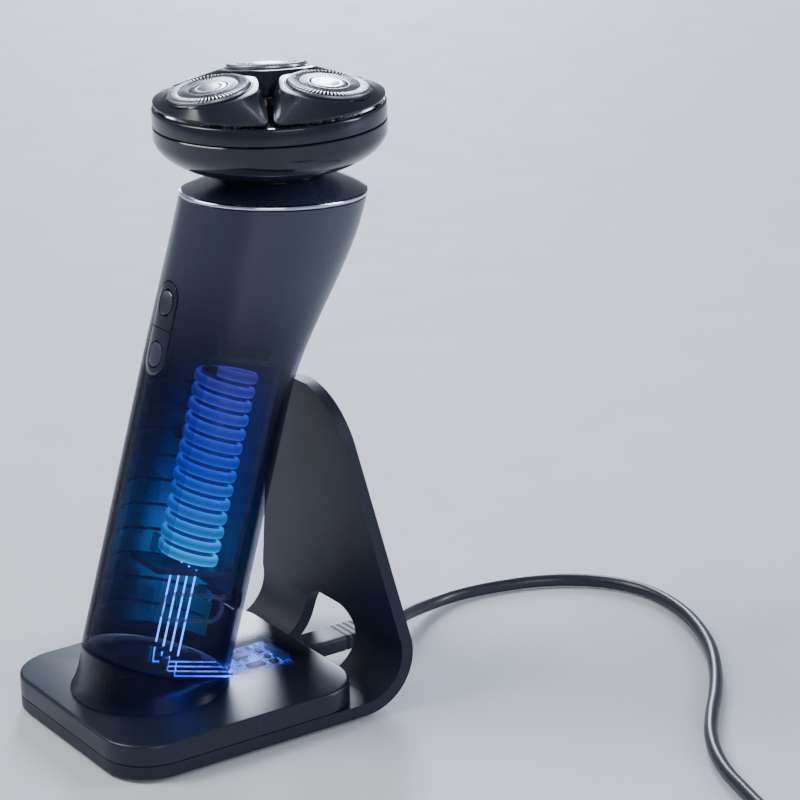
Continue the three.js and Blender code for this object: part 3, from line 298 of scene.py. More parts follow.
plate_rear = [(-half, 0), (half, 0), (half, TAPER_START),
              *arc((0, top_centre), UPRIGHT_TOP, touch, 180 - touch, 64), (-half, TAPER_START)]
plate_plan = rounded(BASE_WIDTH, 110, BASE_CORNER, 16)
window = [(-13.5, -2), (13.5, -2), *arc((4.5, 11.5), 9, 0, 90, 14), *arc((-4.5, 11.5), 9, 90, 180, 14)]
plate = carve(prism(plate_side, -half, half, ALONG_X), prism(plate_rear, -70, 50, ALONG_Y),
              operation="INTERSECT")
plan = prism(plate_plan, -10, 120)
bmesh.ops.translate(plan, verts=plan.verts, vec=(0, (55 - BASE_DEPTH / 2) * MM, 0))
plate = carve(plate, plan, operation="INTERSECT")
plate = carve(plate, prism(window, -100, -38.5, ALONG_Y))
bracket_paint = shade("bracket_paint", (0.008, 0.010, 0.024), 0.48, speckle=0.2, scale=2600, bump=0.12,
                      specular=0.3)
piece("bent_plate", plate, bracket_paint, "stand", ["bracket"], edge=0.45)


# Base block: an injection-moulded cover screwed to the plate from below, hollow, with a thin roof
# over the circuit board, through which the lit board shows.
def combine(material, operation, first, second=0):
    """One math node on two sockets or numbers."""
    nodes, links = material.node_tree.nodes, material.node_tree.links
    node = nodes.new("ShaderNodeMath")
    node.operation = operation
    for socket, value in zip(node.inputs, (first, second)):
        if isinstance(value, (int, float)):
            socket.default_value = value
        else:
            links.new(value, socket)
    return node.outputs[0]


def times(material, first, second):
    """The product of two sockets or numbers."""
    return combine(material, "MULTIPLY", first, second)


def plus(material, first, second):
    """The sum of two sockets or numbers."""
    return combine(material, "ADD", first, second)


def minus(material, first, second):
    """The first less the second."""
    return combine(material, "SUBTRACT", first, second)


def see_through(material, cover, most, tint):
    """Lets light pass where cover is 1, up to the share most, with a tint."""
    nodes, links = material.node_tree.nodes, material.node_tree.links
    shader, out = nodes["Principled BSDF"], nodes["Material Output"]
    clear = nodes.new("ShaderNodeBsdfTransparent")
    clear.inputs["Color"].default_value = (*tint, 1)
    blend = nodes.new("ShaderNodeMixShader")
    links.new(times(material, cover, most), blend.inputs["Fac"])
    links.new(shader.outputs["BSDF"], blend.inputs[1])
    links.new(clear.outputs["BSDF"], blend.inputs[2])
    links.new(blend.outputs["Shader"], out.inputs["Surface"])


def axis_values(material, location=(0, 0, 0), rotation=(0, 0, 0)):
    """The x, y and z of the piece's own coordinates, moved and turned first."""
    nodes, links = material.node_tree.nodes, material.node_tree.links
    place = nodes.new("ShaderNodeTexCoord")
    moved = nodes.new("ShaderNodeMapping")
    moved.inputs["Location"].default_value = location
    moved.inputs["Rotation"].default_value = rotation
    split = nodes.new("ShaderNodeSeparateXYZ")
    links.new(place.outputs["Object"], moved.inputs["Vector"])
    links.new(moved.outputs["Vector"], split.inputs["Vector"])
    return split.outputs


def fade(material, value, start, end):
    """0 before start, 1 after end, eased between; start may be the larger."""
    nodes, links = material.node_tree.nodes, material.node_tree.links
    ease = nodes.new("ShaderNodeMapRange")
    ease.interpolation_type = "SMOOTHSTEP"
    low, high = min(start, end), max(start, end)
    ease.inputs["From Min"].default_value = low
    ease.inputs["From Max"].default_value = high
    ease.inputs["To Min"].default_value = 0 if start < end else 1
    ease.inputs["To Max"].default_value = 1 if start < end else 0
    links.new(value, ease.inputs["Value"])
    return ease.outputs["Result"]


BLOCK_Z, BLOCK_TOP = 4.9, 10.6
BOARD_Y, BOARD_TOP = 22.75, 8.2
block = prism(rounded(BASE_WIDTH, BASE_DEPTH, BASE_CORNER, 16), BLOCK_Z, BLOCK_TOP)
top_rim = [e for e in block.edges if all(v.co.z > (BLOCK_TOP - 0.1) * MM for v in e.verts)]
bmesh.ops.bevel(block, geom=top_rim, offset=0.9 * MM, segments=4, profile=0.5, affect="EDGES", material=-1,
                offset_type="OFFSET")
inside = prism(rounded(BASE_WIDTH - 4.8, BASE_DEPTH - 4.8, BASE_CORNER - 2.4), BLOCK_Z - 1, BLOCK_TOP - 1.4)
pocket = prism(oblong(-11, 11, 8.2, 32), BLOCK_Z - 1, BLOCK_TOP - 0.7)
lead_gap = prism(oblong(-9.7, 9.7, -15.8, 10.1), BLOCK_Z - 1, BLOCK_TOP + 1)
socket = prism(oblong(-5.3, 5.3, 4.8, 10), -45, -31, ALONG_Y)
block = carve(block, inside, pocket, lead_gap, socket)
block_plastic = shade("block_plastic", (0.008, 0.010, 0.024), 0.34, speckle=0.1, scale=1800, bump=0.06,
                      specular=0.35)
x, y, z = axis_values(block_plastic)
over_board = combine(block_plastic, "MULTIPLY",
                     fade(block_plastic, combine(block_plastic, "ABSOLUTE", x, 0), 14 * MM, 7 * MM),
                     times(block_plastic, fade(block_plastic, y, -6 * MM, 3 * MM),
                             fade(block_plastic, y, 36 * MM, 29 * MM)))
see_through(block_plastic, over_board, 0.9, (0.68, 0.76, 1.0))
piece("block_cover", block, block_plastic, "stand", ["base_block"], sharp=30)


# Plinth and boss: the dock. The plinth rises out of the block at the shaver's lean and flares at its
# foot; the boss enters the handle's recess, holds the magnet and carries two gold-plated contacts.
def skin(rings, looped=False):
    """Equal rings of points joined one to the next; an open run gets flat ends."""
    bm = bmesh.new()
    knots = [[bm.verts.new(Vector(p) * MM) for p in ring] for ring in rings]
    pairs = list(zip(knots, knots[1:]))
    if looped:
        pairs.append((knots[-1], knots[0]))
    for low, high in pairs:
        for i in range(len(low)):
            bm.faces.new((low[i - 1], low[i], high[i], high[i - 1]))
    if not looped:
        bm.faces.new(knots[0])
        bm.faces.new(knots[-1])
    bmesh.ops.recalc_face_normals(bm, faces=bm.faces)
    return bm


def circle(radius, z, sides=96, centre=(0, 0), squash=1.0, matrix=None):
    """A level ring of points, that a matrix may tip."""
    ring = []
    for i in range(sides):
        a = 2 * math.pi * i / sides
        point = Vector((centre[0] + radius * math.sin(a), centre[1] + radius * squash * math.cos(a), z))
        ring.append(matrix @ point if matrix else point)
    return ring


def turned(profile, steps=96, looped=False):
    """A profile of radius and height in mm, spun about the upright axis."""
    bm = bmesh.new()
    knots = [bm.verts.new((r * MM, 0, z * MM)) for r, z in profile]
    edges = [bm.edges.new(pair) for pair in zip(knots, knots[1:])]
    if looped:
        edges.append(bm.edges.new((knots[-1], knots[0])))
    bmesh.ops.spin(bm, geom=knots + edges, cent=(0, 0, 0), axis=(0, 0, 1), angle=2 * math.pi, steps=steps,
                   use_merge=True)
    bmesh.ops.remove_doubles(bm, verts=bm.verts, dist=2e-6)
    bmesh.ops.recalc_face_normals(bm, faces=bm.faces)
    return bm


def rod(radius, low, high, steps=32):
    """A plain round bar, for pins and for the tools that cut holes."""
    return turned([(0, low), (radius, low), (radius, high), (0, high)], steps)


def moved(bm, matrix):
    """The mesh carried by a matrix whose shift is in mm."""
    shift = matrix.copy()
    shift.translation *= MM
    bmesh.ops.transform(bm, matrix=shift, verts=bm.verts)
    return bm


TILT = math.radians(17.4)
DOCK_Y, DOCK_Z = -8.23, 17.6
DOCK = Matrix.Translation((0, DOCK_Y, DOCK_Z)) @ Matrix.Rotation(-TILT, 4, "X")
FROM_DOCK = DOCK.inverted()
GRIP_RADIUS = 20.4
BOSS_RADIUS, BOSS_RISE = 11.7, 1.2
foot_z = BLOCK_TOP + 0.3
foot_y = DOCK_Y - (DOCK_Z - foot_z) * math.tan(TILT)
plinth_top = [DOCK @ p for p in circle(GRIP_RADIUS, 0)]
plinth_rings = [circle(22.2, foot_z, centre=(0, foot_y), squash=0.965)]
for step in range(1, 9):
    share = step / 9
    flare = 1.8 * (1 - share) ** 2.6 / GRIP_RADIUS
    middle = foot_y + (DOCK_Y - foot_y) * share
    plinth_rings.append([Vector((p.x * (1 + flare), middle + (p.y - DOCK_Y) * (1 + flare),
                                 foot_z + (p.z - foot_z) * share)) for p in plinth_top])
plinth_rings += [[DOCK @ p for p in circle(GRIP_RADIUS, -0.25)],
                 [DOCK @ p for p in circle(GRIP_RADIUS - 0.3, 0)]]
plinth = carve(skin(plinth_rings), moved(rod(12, -20, 5, 64), DOCK),
               prism(oblong(-9.7, 9.7, -9.3, 7.7), 5, 12.8))
plinth_plastic = shade("plinth_plastic", (0.009, 0.011, 0.027), 0.3, speckle=0.1, scale=1800, bump=0.05,
                       specular=0.4)
x, y, z = axis_values(plinth_plastic)
over_leads = fade(plinth_plastic, plus(plinth_plastic, x, times(plinth_plastic, y, 0.4)),
                  -16 * MM, 2 * MM)
see_through(plinth_plastic, over_leads, 0.82, (0.7, 0.76, 1.0))
piece("dock_plinth", plinth, plinth_plastic, "stand", ["plinth"], sharp=40)

boss_low = -2.6
boss = moved(turned([(0, boss_low), (BOSS_RADIUS, boss_low), (BOSS_RADIUS, BOSS_RISE - 0.5),
                     (BOSS_RADIUS - 0.15, BOSS_RISE - 0.15), (BOSS_RADIUS - 0.5, BOSS_RISE), (9.2, BOSS_RISE),
                     (9.0, BOSS_RISE - 0.3), (8.6, BOSS_RISE - 0.3), (8.4, BOSS_RISE), (0, BOSS_RISE)]), DOCK)
boss_plastic = shade("boss_plastic", (0.03, 0.032, 0.042), 0.5, speckle=0.12, scale=1600, bump=0.08)
see_through(boss_plastic, 1, 0.84, (0.8, 0.86, 1.0))
contact_gold = shade("contact_gold", (0.72, 0.53, 0.25), 0.26, metallic=1, speckle=0.04, scale=1200,
                     bump=0.03)
for side, node in ((-1, "dock_contact_1"), (1, "dock_contact_2")):
    seat = DOCK @ Matrix.Translation((side * 4.5, 0, 0))
    boss = carve(boss, moved(rod(1.5, -4, 4), seat))
    pin = turned([(0, boss_low), (1.2, boss_low), (1.2, 1.5), (1.05, 1.7), (0.7, 1.8), (0.45, 1.7),
                  (0, 1.68)], 32)
    piece(f"dock_pin_{side}", moved(pin, seat), contact_gold, "stand", [node])
piece("locating_boss", boss, boss_plastic, "stand", ["dock_boss"])


# Stand's circuit board and dock leads: a small solder-masked board with chips, a connector at its
# rear and lit copper; four leads run to it from the dock, glowing with the charging current.
def glow(name, colour, strength):
    """A finish that gives light of its own; strength and colour may be replaced by links."""
    material = shade(name, [c * 0.3 for c in colour], 0.3, speckle=0.1, scale=900, bump=0.02)
    shader = material.node_tree.nodes["Principled BSDF"]
    shader.inputs["Emission Color"].default_value = (*colour, 1)
    shader.inputs["Emission Strength"].default_value = strength
    return material


def ramp(material, value, stops):
    """A colour ramp on a value from 0 to 1."""
    nodes, links = material.node_tree.nodes, material.node_tree.links
    node = nodes.new("ShaderNodeValToRGB")
    elements = node.color_ramp.elements
    while len(elements) < len(stops):
        elements.new(0.5)
    for element, (position, colour) in zip(elements, stops):
        element.position = position
        element.color = (*colour, 1)
    links.new(value, node.inputs["Fac"])
    return node.outputs["Color"]


def block_at(bm, centre, size, soft=0.12, matrix=None):
    """Adds a small box with softened edges, sizes in mm."""
    made = bmesh.ops.create_cube(bm, size=1)["verts"]
    bmesh.ops.scale(bm, verts=made, vec=Vector(size) * MM)
    bmesh.ops.translate(bm, verts=made, vec=Vector(centre) * MM)
    edges = list({e for v in made for e in v.link_edges})
    bevelled = bmesh.ops.bevel(bm, geom=edges, offset=soft * MM, segments=2, profile=0.5, affect="EDGES",
                               material=-1)
    if matrix:
        shift = matrix.copy()
        shift.translation *= MM
        parts = list(set(bevelled["verts"]) | {v for v in made if v.is_valid})
        bmesh.ops.transform(bm, matrix=shift, verts=parts)


def lit_board(name, base, line_colour, strength, scale, cover=0.07):
    """Solder mask with a net of fine lit copper lines."""
    material = glow(name, line_colour, strength)
    nodes, links = material.node_tree.nodes, material.node_tree.links
    shader = nodes["Principled BSDF"]
    place = nodes.new("ShaderNodeTexCoord")
    cells = nodes.new("ShaderNodeTexVoronoi")
    cells.distance = "CHEBYCHEV"
    cells.feature = "F1"
    cells.inputs["Scale"].default_value = scale
    cells.inputs["Randomness"].default_value = 0.75
    links.new(place.outputs["Object"], cells.inputs["Vector"])
    rings = combine(material, "FRACT", times(material, cells.outputs["Distance"], 4.2), 0)
    lines = combine(material, "LESS_THAN", rings, 0.3)
    level = times(material, plus(material, lines, cover), strength)
    links.new(level, shader.inputs["Emission Strength"])
    links.new(ramp(material, lines, [(0, base), (1, line_colour)]), shader.inputs["Base Color"])
    return material


board_lit = lit_board("board_lit", (0.01, 0.03, 0.12), (0.12, 0.3, 1.0), 2.6, 420)
chip_black = shade("chip_black", (0.02, 0.02, 0.03), 0.35, scale=1500)
stand_board = bmesh.new()
block_at(stand_board, (0, BOARD_Y, BOARD_TOP - 0.6), (20, 16.5, 1.2), 0.1)
piece("stand_circuit", stand_board, board_lit, "stand", ["stand_board"])
chips = bmesh.new()
for cx, cy, sx, sy in ((-4.5, 20, 4, 4), (3.5, 21, 3, 5), (-4, 26.4, 2.4, 1.4), (0.4, 26.6, 2.2, 1.2),
                       (4.5, 26.2, 2.6, 2)):
    block_at(chips, (cx, cy, BOARD_TOP + 0.35), (sx, sy, 0.7), 0.08)
piece("stand_chips", chips, chip_black, "stand", ())
header = bmesh.new()
block_at(header, (0, 30, BOARD_TOP + 0.6), (10.4, 2.4, 1.2), 0.15)
piece("stand_header", header, shade("header_grey", (0.2, 0.21, 0.24), 0.5), "stand", ())
lead_glow = glow("lead_glow", (0.06, 0.2, 1.0), 8)
LEAD_PLACES, LEAD_Y, LEAD_HALF = (-6, -2, 2, 6), 3, 0.24
for k, x in enumerate(LEAD_PLACES):
    low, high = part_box(f"dock_lead_{k + 1}")
    start = Vector((x, low[1] / MM + 0.4, high[2] / MM - 0.4))
    end = Vector((x, high[1] / MM - 0.4, low[2] / MM + 0.4))
    corner = start.lerp(end, 0.16)
    riser = DOCK @ Vector((x, LEAD_Y, 1))
    sections = []
    for centre, along in ((riser, corner - riser), (corner, end - riser), (end, end - corner)):
        side = Vector((1, 0, 0))
        level = side.cross(along.normalized())
        sections.append([centre + side * LEAD_HALF * math.cos(b) + level * LEAD_HALF * math.sin(b)
                         for b in (2 * math.pi * i / 12 for i in range(12))])
    piece(f"dock_wire_{k + 1}", skin(sections), lead_glow, "stand", [f"dock_lead_{k + 1}"],
          sharp=60)


# Cable connector: a flat over-mould that leaves the rear of the block and narrows to the cord, with
# shallow flex grooves in its end. The plug at the far end is a plain moulded USB-A plug.
def flat_section(half_width, half_height, y, z, power, sides=64):
    """A ring across the lead, from nearly rectangular (power small) to round (power 1)."""
    ring = []
    for i in range(sides):
        a = 2 * math.pi * i / sides
        c, s = math.cos(a), math.sin(a)
        ring.append(Vector((half_width * math.copysign(abs(c) ** power, c), y,
                            z + half_height * math.copysign(abs(s) ** power, s))))
    return ring


LEAD_Z = 7.4
neck_profile = [(4.8, 2.1, 32.6, 0.3), (5, 2.3, 33, 0.3)]
for y in (50, 52, 54, 56):
    neck_profile += [(5, 2.3, y - 0.5, 0.3), (4.85, 2.15, y - 0.2, 0.32), (4.85, 2.15, y + 0.2, 0.32),
                     (5, 2.3, y + 0.5, 0.3)]
neck_profile += [(5, 2.3, 57.2, 0.32), (4.4, 2.25, 58.4, 0.45), (3.4, 2.3, 60.5, 0.7), (2.6, 2.35, 62.6, 1),
                 (2.3, 2.3, 64, 1)]
neck_sections = [flat_section(half_w, half_h, y, LEAD_Z, power) for half_w, half_h, y, power in neck_profile]
connector_plastic = shade("connector_plastic", (0.012, 0.014, 0.028), 0.5, scale=1500, bump=0.08,
                          specular=0.3)
piece("cable_connector_body", skin(neck_sections), connector_plastic, "stand", ["cable_connector"],
      sharp=38)

plug_low, plug_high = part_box("plug_body")
plug_x = (plug_low[0] + plug_high[0]) / 2 / MM
plug_y = plug_high[1] / MM
plug_sections = []
for half_w, half_h, y, power in ((2.3, 2.3, 0, 1), (2.45, 2.45, 2, 1), (2.2, 2.2, 2.6, 1), (2.5, 2.5, 3.4, 1),
                                 (2.25, 2.25, 5, 1), (2.6, 2.6, 6, 1), (2.35, 2.35, 7.6, 1),
                                 (2.75, 2.75, 8.6, 1),
                                 (2.9, 2.9, 12, 0.9), (6.8, 3.3, 12.4, 0.4), (7.5, 3.8, 13.4, 0.32),
                                 (7.75, 4, 15.5, 0.28), (7.75, 4, 34, 0.28), (7.5, 3.75, 35.5, 0.3),
                                 (7.1, 3.4, 36, 0.32)):
    section = flat_section(half_w, half_h, plug_y - y, 4, power)
    plug_sections.append([point + Vector((plug_x, 0, 0)) for point in section])
piece("usb_plug_body", skin(plug_sections), connector_plastic, "stand", ["plug_body"],
      sharp=38)

plug_steel = shade("plug_steel", (0.6, 0.61, 0.64), 0.24, metallic=1, speckle=0.05, scale=1500, bump=0.03)
shell_low, shell_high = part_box("plug_shell")
shell_x, shell_y = (shell_low[0] + shell_high[0]) / 2 / MM, shell_high[1] / MM
tube = prism(rounded(12, 4.5, 0.5, 4), -shell_y, 12 - shell_y, ALONG_Y)
mouth = prism(rounded(11.4, 3.9, 0.3, 4), 0.6 - shell_y, 13 - shell_y, ALONG_Y)
shell = carve(tube, mouth)
shell = moved(shell, Matrix.Translation((shell_x, 0, 4)))
slots = [prism(oblong(shell_x + s * 3 - 1.1, shell_x + s * 3 + 1.1, shell_y - 6.2, shell_y - 3.6), 5.5, 7)
         for s in (-1, 1)]
piece("usb_plug_shell", carve(shell, *slots), plug_steel, "stand", ["plug_shell"])
tongue = bmesh.new()
block_at(tongue, (shell_x, shell_y - 6.2, 3.25), (11, 10.6, 1.6), 0.15)
piece("usb_plug_tongue", tongue, chip_black, "stand", ())


# Grip: a smoked see-through tube, drawn up at the back towards the sloping rim, with openings for
# the control panel and the charging port. Towards the top it is solid blue-grey, lightening upwards
# as a painted sheen.
FLARE_START, RIM_FRONT, RIM_BACK = 78.75, 125.45, 136.75


def grip_ring(front, inset=0.0, lift=0.0, sides=128):
    """A ring of the grip's outside; above the flare it tips with the rim and its back draws away."""
    share = max(0.0, (front - FLARE_START) / (RIM_FRONT - FLARE_START))
    rear = FLARE_START + share * (RIM_BACK - FLARE_START) if share else front
    part = min(1.0, share / 0.93)
    eased = part * part * (3 - 2 * part)
    y_front, y_back = -GRIP_RADIUS + inset, GRIP_RADIUS + 10.6 * eased - inset
    half_width = GRIP_RADIUS + 0.6 * eased - inset
    ring = []
    for i in range(sides):
        s, c = math.sin(2 * math.pi * i / sides), math.cos(2 * math.pi * i / sides)
        point = Vector((half_width * s, (y_front + y_back + c * (y_back - y_front)) / 2,
                        (front + rear + c * (rear - front)) / 2 + lift))
        ring.append(DOCK @ point)
    return ring


def handle_axes(material):
    """x, y and z along the handle, in metres, with z 0 at the plinth's top."""
    return axis_values(material, FROM_DOCK.translation * MM, (TILT, 0, 0))


def capsule(width, height, inset=0.0, sides=64):
    """An outline with round ends, wider or taller as asked."""
    radius = min(width, height) / 2
    dx, dz = width / 2 - radius, height / 2 - radius
    points = []
    for i in range(sides):
        a = 2 * math.pi * (i + 0.5) / sides
        c, s = math.cos(a), math.sin(a)
        points.append(((radius - inset) * c + math.copysign(dx, c),
                       (radius - inset) * s + math.copysign(dz, s)))
    return points


def shifted(points, dz):
    """An outline raised by dz."""
    return [(x, z + dz) for x, z in points]


PANEL_Z, BUTTON_Z, WINDOW_Z, PORT_Z = 90.2, 97.2, 83.2, 18.75
shell_top = RIM_FRONT - 1.2
heights = [0.3, 0.9, *range(5, 79, 6)] + [FLARE_START + (shell_top - FLARE_START) * k / 20 for k in range(21)]
outer = [grip_ring(0.3, 0.5), *[grip_ring(h) for h in heights[1:]]]
inner = [grip_ring(h, 1.6) for h in reversed(heights)]
panel_hole = moved(prism(shifted(capsule(9.9, 25.9), PANEL_Z), 15, 24, ALONG_Y), DOCK)
port_hole = moved(prism(shifted(capsule(13, 6.2), PORT_Z), -24, -15, ALONG_Y), DOCK)
grip = carve(skin(outer + inner, looped=True), panel_hole, port_hole)
grip_paint = shade("grip_paint", (0.019, 0.023, 0.050), 0.3, metallic=0.1, coat=0.15, speckle=0.12,
                   scale=2200,
                   bump=0.03, specular=0.4)
x, y, z = handle_axes(grip_paint)
# Painted sheen: the grip's colour lightens towards the top, mixed in at 0.7 over the grain tone.
tone = ramp(grip_paint, times(grip_paint, z, 7.5), [(0.25, (0.010, 0.012, 0.028)),
                                                    (0.6, (0.015, 0.018, 0.038)),
                                                                  (0.95, (0.038, 0.041, 0.068))])
grain_and_painted_sheen = grip_paint.node_tree.nodes.new("ShaderNodeMix")
grain_and_painted_sheen.data_type = "RGBA"
grain_and_painted_sheen.inputs["Factor"].default_value = 0.7
grip_shader = grip_paint.node_tree.nodes["Principled BSDF"]
grip_paint.node_tree.links.new(grip_shader.inputs["Base Color"].links[0].from_socket, grain_and_painted_sheen.inputs[6])
grip_paint.node_tree.links.new(tone, grain_and_painted_sheen.inputs[7])
grip_paint.node_tree.links.new(grain_and_painted_sheen.outputs[2], grip_shader.inputs["Base Color"])
facing = plus(grip_paint, times(grip_paint, x, 0.88), times(grip_paint, y, -0.47))
side_mask = fade(grip_paint, facing, -9 * MM, 7 * MM)
height_mask = fade(grip_paint, z, 112 * MM, 74 * MM)
see_through(grip_paint, times(grip_paint, side_mask, height_mask), 0.84, (0.76, 0.79, 0.92))
piece("grip", grip, grip_paint, "handle", ["grip_shell"], sharp=35)


# Bottom cap: a plain moulding that closes the grip from below. Its recess drops over the dock's
# boss, and its edges are softened; the contact pads inside the recess are left out.
def dress(node, material, edge=0.0):
    """Finishes a carried-over CAD node, with soft edges where asked."""
    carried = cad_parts[node]
    carried.data.materials.clear()
    carried.data.materials.append(material)
    if edge:
        bevel = carried.modifiers.new("soft_edges", "BEVEL")
        bevel.width = edge * MM
        bevel.segments = 2
        bevel.limit_method = "ANGLE"
        bevel.angle_limit = math.radians(35)
        bevel.use_clamp_overlap = True
    smooth = carried.modifiers.new("weighted", "WEIGHTED_NORMAL")
    smooth.keep_sharp = True


dress("bottom_cap", boss_plastic, 0.15)


# Control panel: a gloss insert pressed into the front of the grip, split by a fine groove, with a
# round power button above it and a round charge window below.
def patch(width, height, z, layers, front=True):
    """A plate bent round the grip; each layer gives an inset and a radius from the handle's axis."""
    rings = []
    for inset, radius in layers:
        ring = []
        for u, v in capsule(width, height, inset, 96):
            a = u / GRIP_RADIUS
            y = -radius * math.cos(a) if front else radius * math.cos(a)
            ring.append(DOCK @ Vector((radius * math.sin(a), y, z + v)))
        rings.append(ring)
    return skin(rings)


def bore_tool(radius, z, depth, flare):
    """A cutter for a round hole in the front of the grip, its mouth chamfered."""
    tool = turned([(0, depth), (radius, depth), (radius, 20.27), (radius + flare, 20.53),
                   (radius + flare, 24), (0, 24)], 64)
    return moved(tool, DOCK @ Matrix.Translation((0, 0, z)) @ Matrix.Rotation(math.pi / 2, 4, "X"))


R = GRIP_RADIUS
bezel = patch(9.3, 25.3, PANEL_Z, [(0, R - 1.5), (0, R - 0.05), (0.05, R + 0.07), (0.17, R + 0.12),
                                   (1.2, R + 0.12),
                                (2.2, R + 0.12), (3.2, R + 0.12), (4.2, R + 0.12)])
groove = moved(prism(oblong(-6, 6, PANEL_Z - 0.12, PANEL_Z + 0.12), R - 0.75, R + 2, ALONG_Y), DOCK)
bezel = carve(bezel, bore_tool(3.6, BUTTON_Z, 15, 0.22), bore_tool(3.6, WINDOW_Z, 15, 0.22), groove)
panel_gloss = shade("panel_gloss", (0.010, 0.012, 0.026), 0.2, coat=0.2, speckle=0.08, scale=1600, bump=0.015,
                    specular=0.4)
piece("panel_bezel", bezel, panel_gloss, "handle", ["control_bezel"], sharp=30)
key = patch(6.6, 6.6, BUTTON_Z, [(0, R - 1.5), (0, R - 0.1), (0.08, R + 0.12), (0.28, R + 0.22),
                                 (0.7, R + 0.16),
                             (1.6, R + 0.06), (2.4, R + 0.02), (3.0, R)])
stem = moved(rod(1.4, 17.4, 19.4),
             DOCK @ Matrix.Translation((0, 0, BUTTON_Z)) @ Matrix.Rotation(math.pi / 2, 4, "X"))
button_gloss = shade("button_gloss", (0.014, 0.016, 0.032), 0.22, coat=0.2, speckle=0.08, scale=1600,
                     bump=0.02)
piece("power_key", carve(key, stem, operation="UNION"), button_gloss, "button", ["power_button"],
      sharp=30)
window_gloss = glow("window_gloss", (0.05, 0.06, 0.13), 0.1)
piece("charge_window", patch(6.6, 6.6, WINDOW_Z, [(0, R - 1.5), (0, R - 0.1), (0.1, R + 0.12),
                                                  (0.3, R + 0.22),
                                              (0.5, R + 0.22), (0.6, R + 0.12), (1.6, R + 0.13),
                                              (2.4, R + 0.14),
                                              (3.0, R + 0.14)]), window_gloss, "handle", ["display_window"],
      sharp=30)


# Rim and shoulder: a thin bright plated ring lies on the grip's sloping edge, and the shoulder
# rises from it to a level collar, chamfered where the neck comes out.
rim_metal = shade("rim_metal", (0.62, 0.66, 0.78), 0.14, metallic=1, speckle=0.04, scale=1500, bump=0.02)
low = RIM_FRONT - 0.9
rim = skin([grip_ring(low + 0.05, 0.05), grip_ring(low + 0.2, -0.07), grip_ring(low + 0.45, -0.1),
            grip_ring(RIM_FRONT - 0.2, -0.07), grip_ring(RIM_FRONT - 0.05, 0.05),
            grip_ring(RIM_FRONT - 0.02, 1.6),
            grip_ring(low + 0.02, 1.6)], looped=True)
piece("rim_line", rim, rim_metal, "handle", ["rim_ring"], sharp=50)

HEAD_Y, HEAD_Z = 35.6, 160
AT_NECK = (0, HEAD_Y)
foot = grip_ring(RIM_FRONT, 0.15, 0.3)
collar = circle(15.2, 145.2, 128, AT_NECK)
slope = [grip_ring(RIM_FRONT, 0.55, 0.3)]
for step in range(0, 13):
    t = step / 12
    bulge = 1 + 0.02 * math.sin(math.pi * t)
    middle = Vector((0, 18 + 17.6 * t, 0))
    line_ring = []
    for a, b in zip(foot, collar):
        point = a.lerp(b, t)
        line_ring.append(Vector((point.x * bulge, middle.y + (point.y - middle.y) * bulge,
                                 point.z + 0.06 * t)))
    slope.append(line_ring)
shoulder = skin(slope + [circle(14.3, 145.95, 128, AT_NECK), circle(14.15, 146, 128, AT_NECK),
                         circle(13.05, 146, 128, AT_NECK), circle(12.95, 145.85, 128, AT_NECK),
                         circle(12.95, 144.2, 128, AT_NECK), grip_ring(RIM_FRONT, 2.2, 0.3)], looped=True)
shoulder_gloss = shade("shoulder_gloss", (0.014, 0.017, 0.038), 0.22, coat=0.3, speckle=0.1, scale=2200,
                       bump=0.02,
                       specular=0.45)
piece("shoulder", shoulder, shoulder_gloss, "handle", ["shoulder_cover"], sharp=28)


# Charging port and its flap: a steel receptacle sunk in the back of the grip behind a rubber flap,
# which hangs on a strip at one end and presses shut, its surface in line with the grip.
flap_rubber = shade("flap_rubber", (0.028, 0.03, 0.042), 0.6, speckle=0.15, scale=1800, bump=0.15)
flap = patch(12.4, 5.6, PORT_Z, [(0, R - 1.1), (0, R - 0.2), (0.08, R - 0.05), (0.3, R), (1.0, R),
                                 (1.2, R - 0.12),
                                (1.4, R - 0.12), (1.6, R), (2.4, R)], front=False)
piece("port_cover", flap, flap_rubber, "flap", ["port_flap"], sharp=30)
port_steel = shade("port_steel", (0.55, 0.56, 0.6), 0.28, metallic=1, speckle=0.05, scale=1500)
dress("usb_port", port_steel, 0.08)


# Battery and coil: the cell stands in its chassis with the charging coil wound round it; the coil
# glows with the current, cyan at its lower turns and violet at its upper ones.
battery_wrap = shade("battery_wrap", (0.02, 0.05, 0.22), 0.35, coat=0.3, speckle=0.05, scale=700, bump=0.02)
CELL = DOCK @ Matrix.Translation((0, LEAD_Y, 0))
cell = turned([(0, 29), (6.4, 29), (6.7, 29.15), (6.8, 29.5), (6.8, 77.6), (6.55, 78), (6.55, 78.7),
               (6.8, 79.1),
               (6.8, 80.3), (6.5, 80.6), (2.9, 80.6), (2.8, 81), (0, 81)], 64)
piece("cell", moved(cell, CELL), battery_wrap, "handle", ["battery_cell"])
coil_turns, coil_low_z, coil_pitch = 13.4, 28.9, 3.93
winding_radius, wire_half_width, wire_half_height = 7.75, 0.75, 1.42
wire_rings = []
for k in range(int(coil_turns * 56) + 1):
    a = 2 * math.pi * k / 56
    centre = Vector((0, 0, coil_low_z + coil_pitch * k / 56))
    out = Vector((math.sin(a), math.cos(a), 0))
    ring = []
    for i in range(14):
        b = 2 * math.pi * i / 14
        offset = out * (winding_radius + wire_half_width * math.cos(b))
        ring.append(CELL @ (centre + offset + Vector((0, 0, wire_half_height * math.sin(b)))))
    wire_rings.append(ring)
coil_glow = glow("coil_glow", (0.02, 0.06, 0.2), 4)
x, y, z = handle_axes(coil_glow)
rise = times(coil_glow, minus(coil_glow, z, 27 * MM), 1 / (56 * MM))
shader = coil_glow.node_tree.nodes["Principled BSDF"]
coil_colour = ramp(coil_glow, rise, [(0, (0.0, 0.46, 0.8)), (0.25, (0.0, 0.27, 0.9)), (0.5, (0.0, 0.1, 1)),
                                     (0.75, (0.06, 0.08, 1)), (1, (0.12, 0.08, 0.9))])
coil_glow.node_tree.links.new(coil_colour, shader.inputs["Emission Color"])
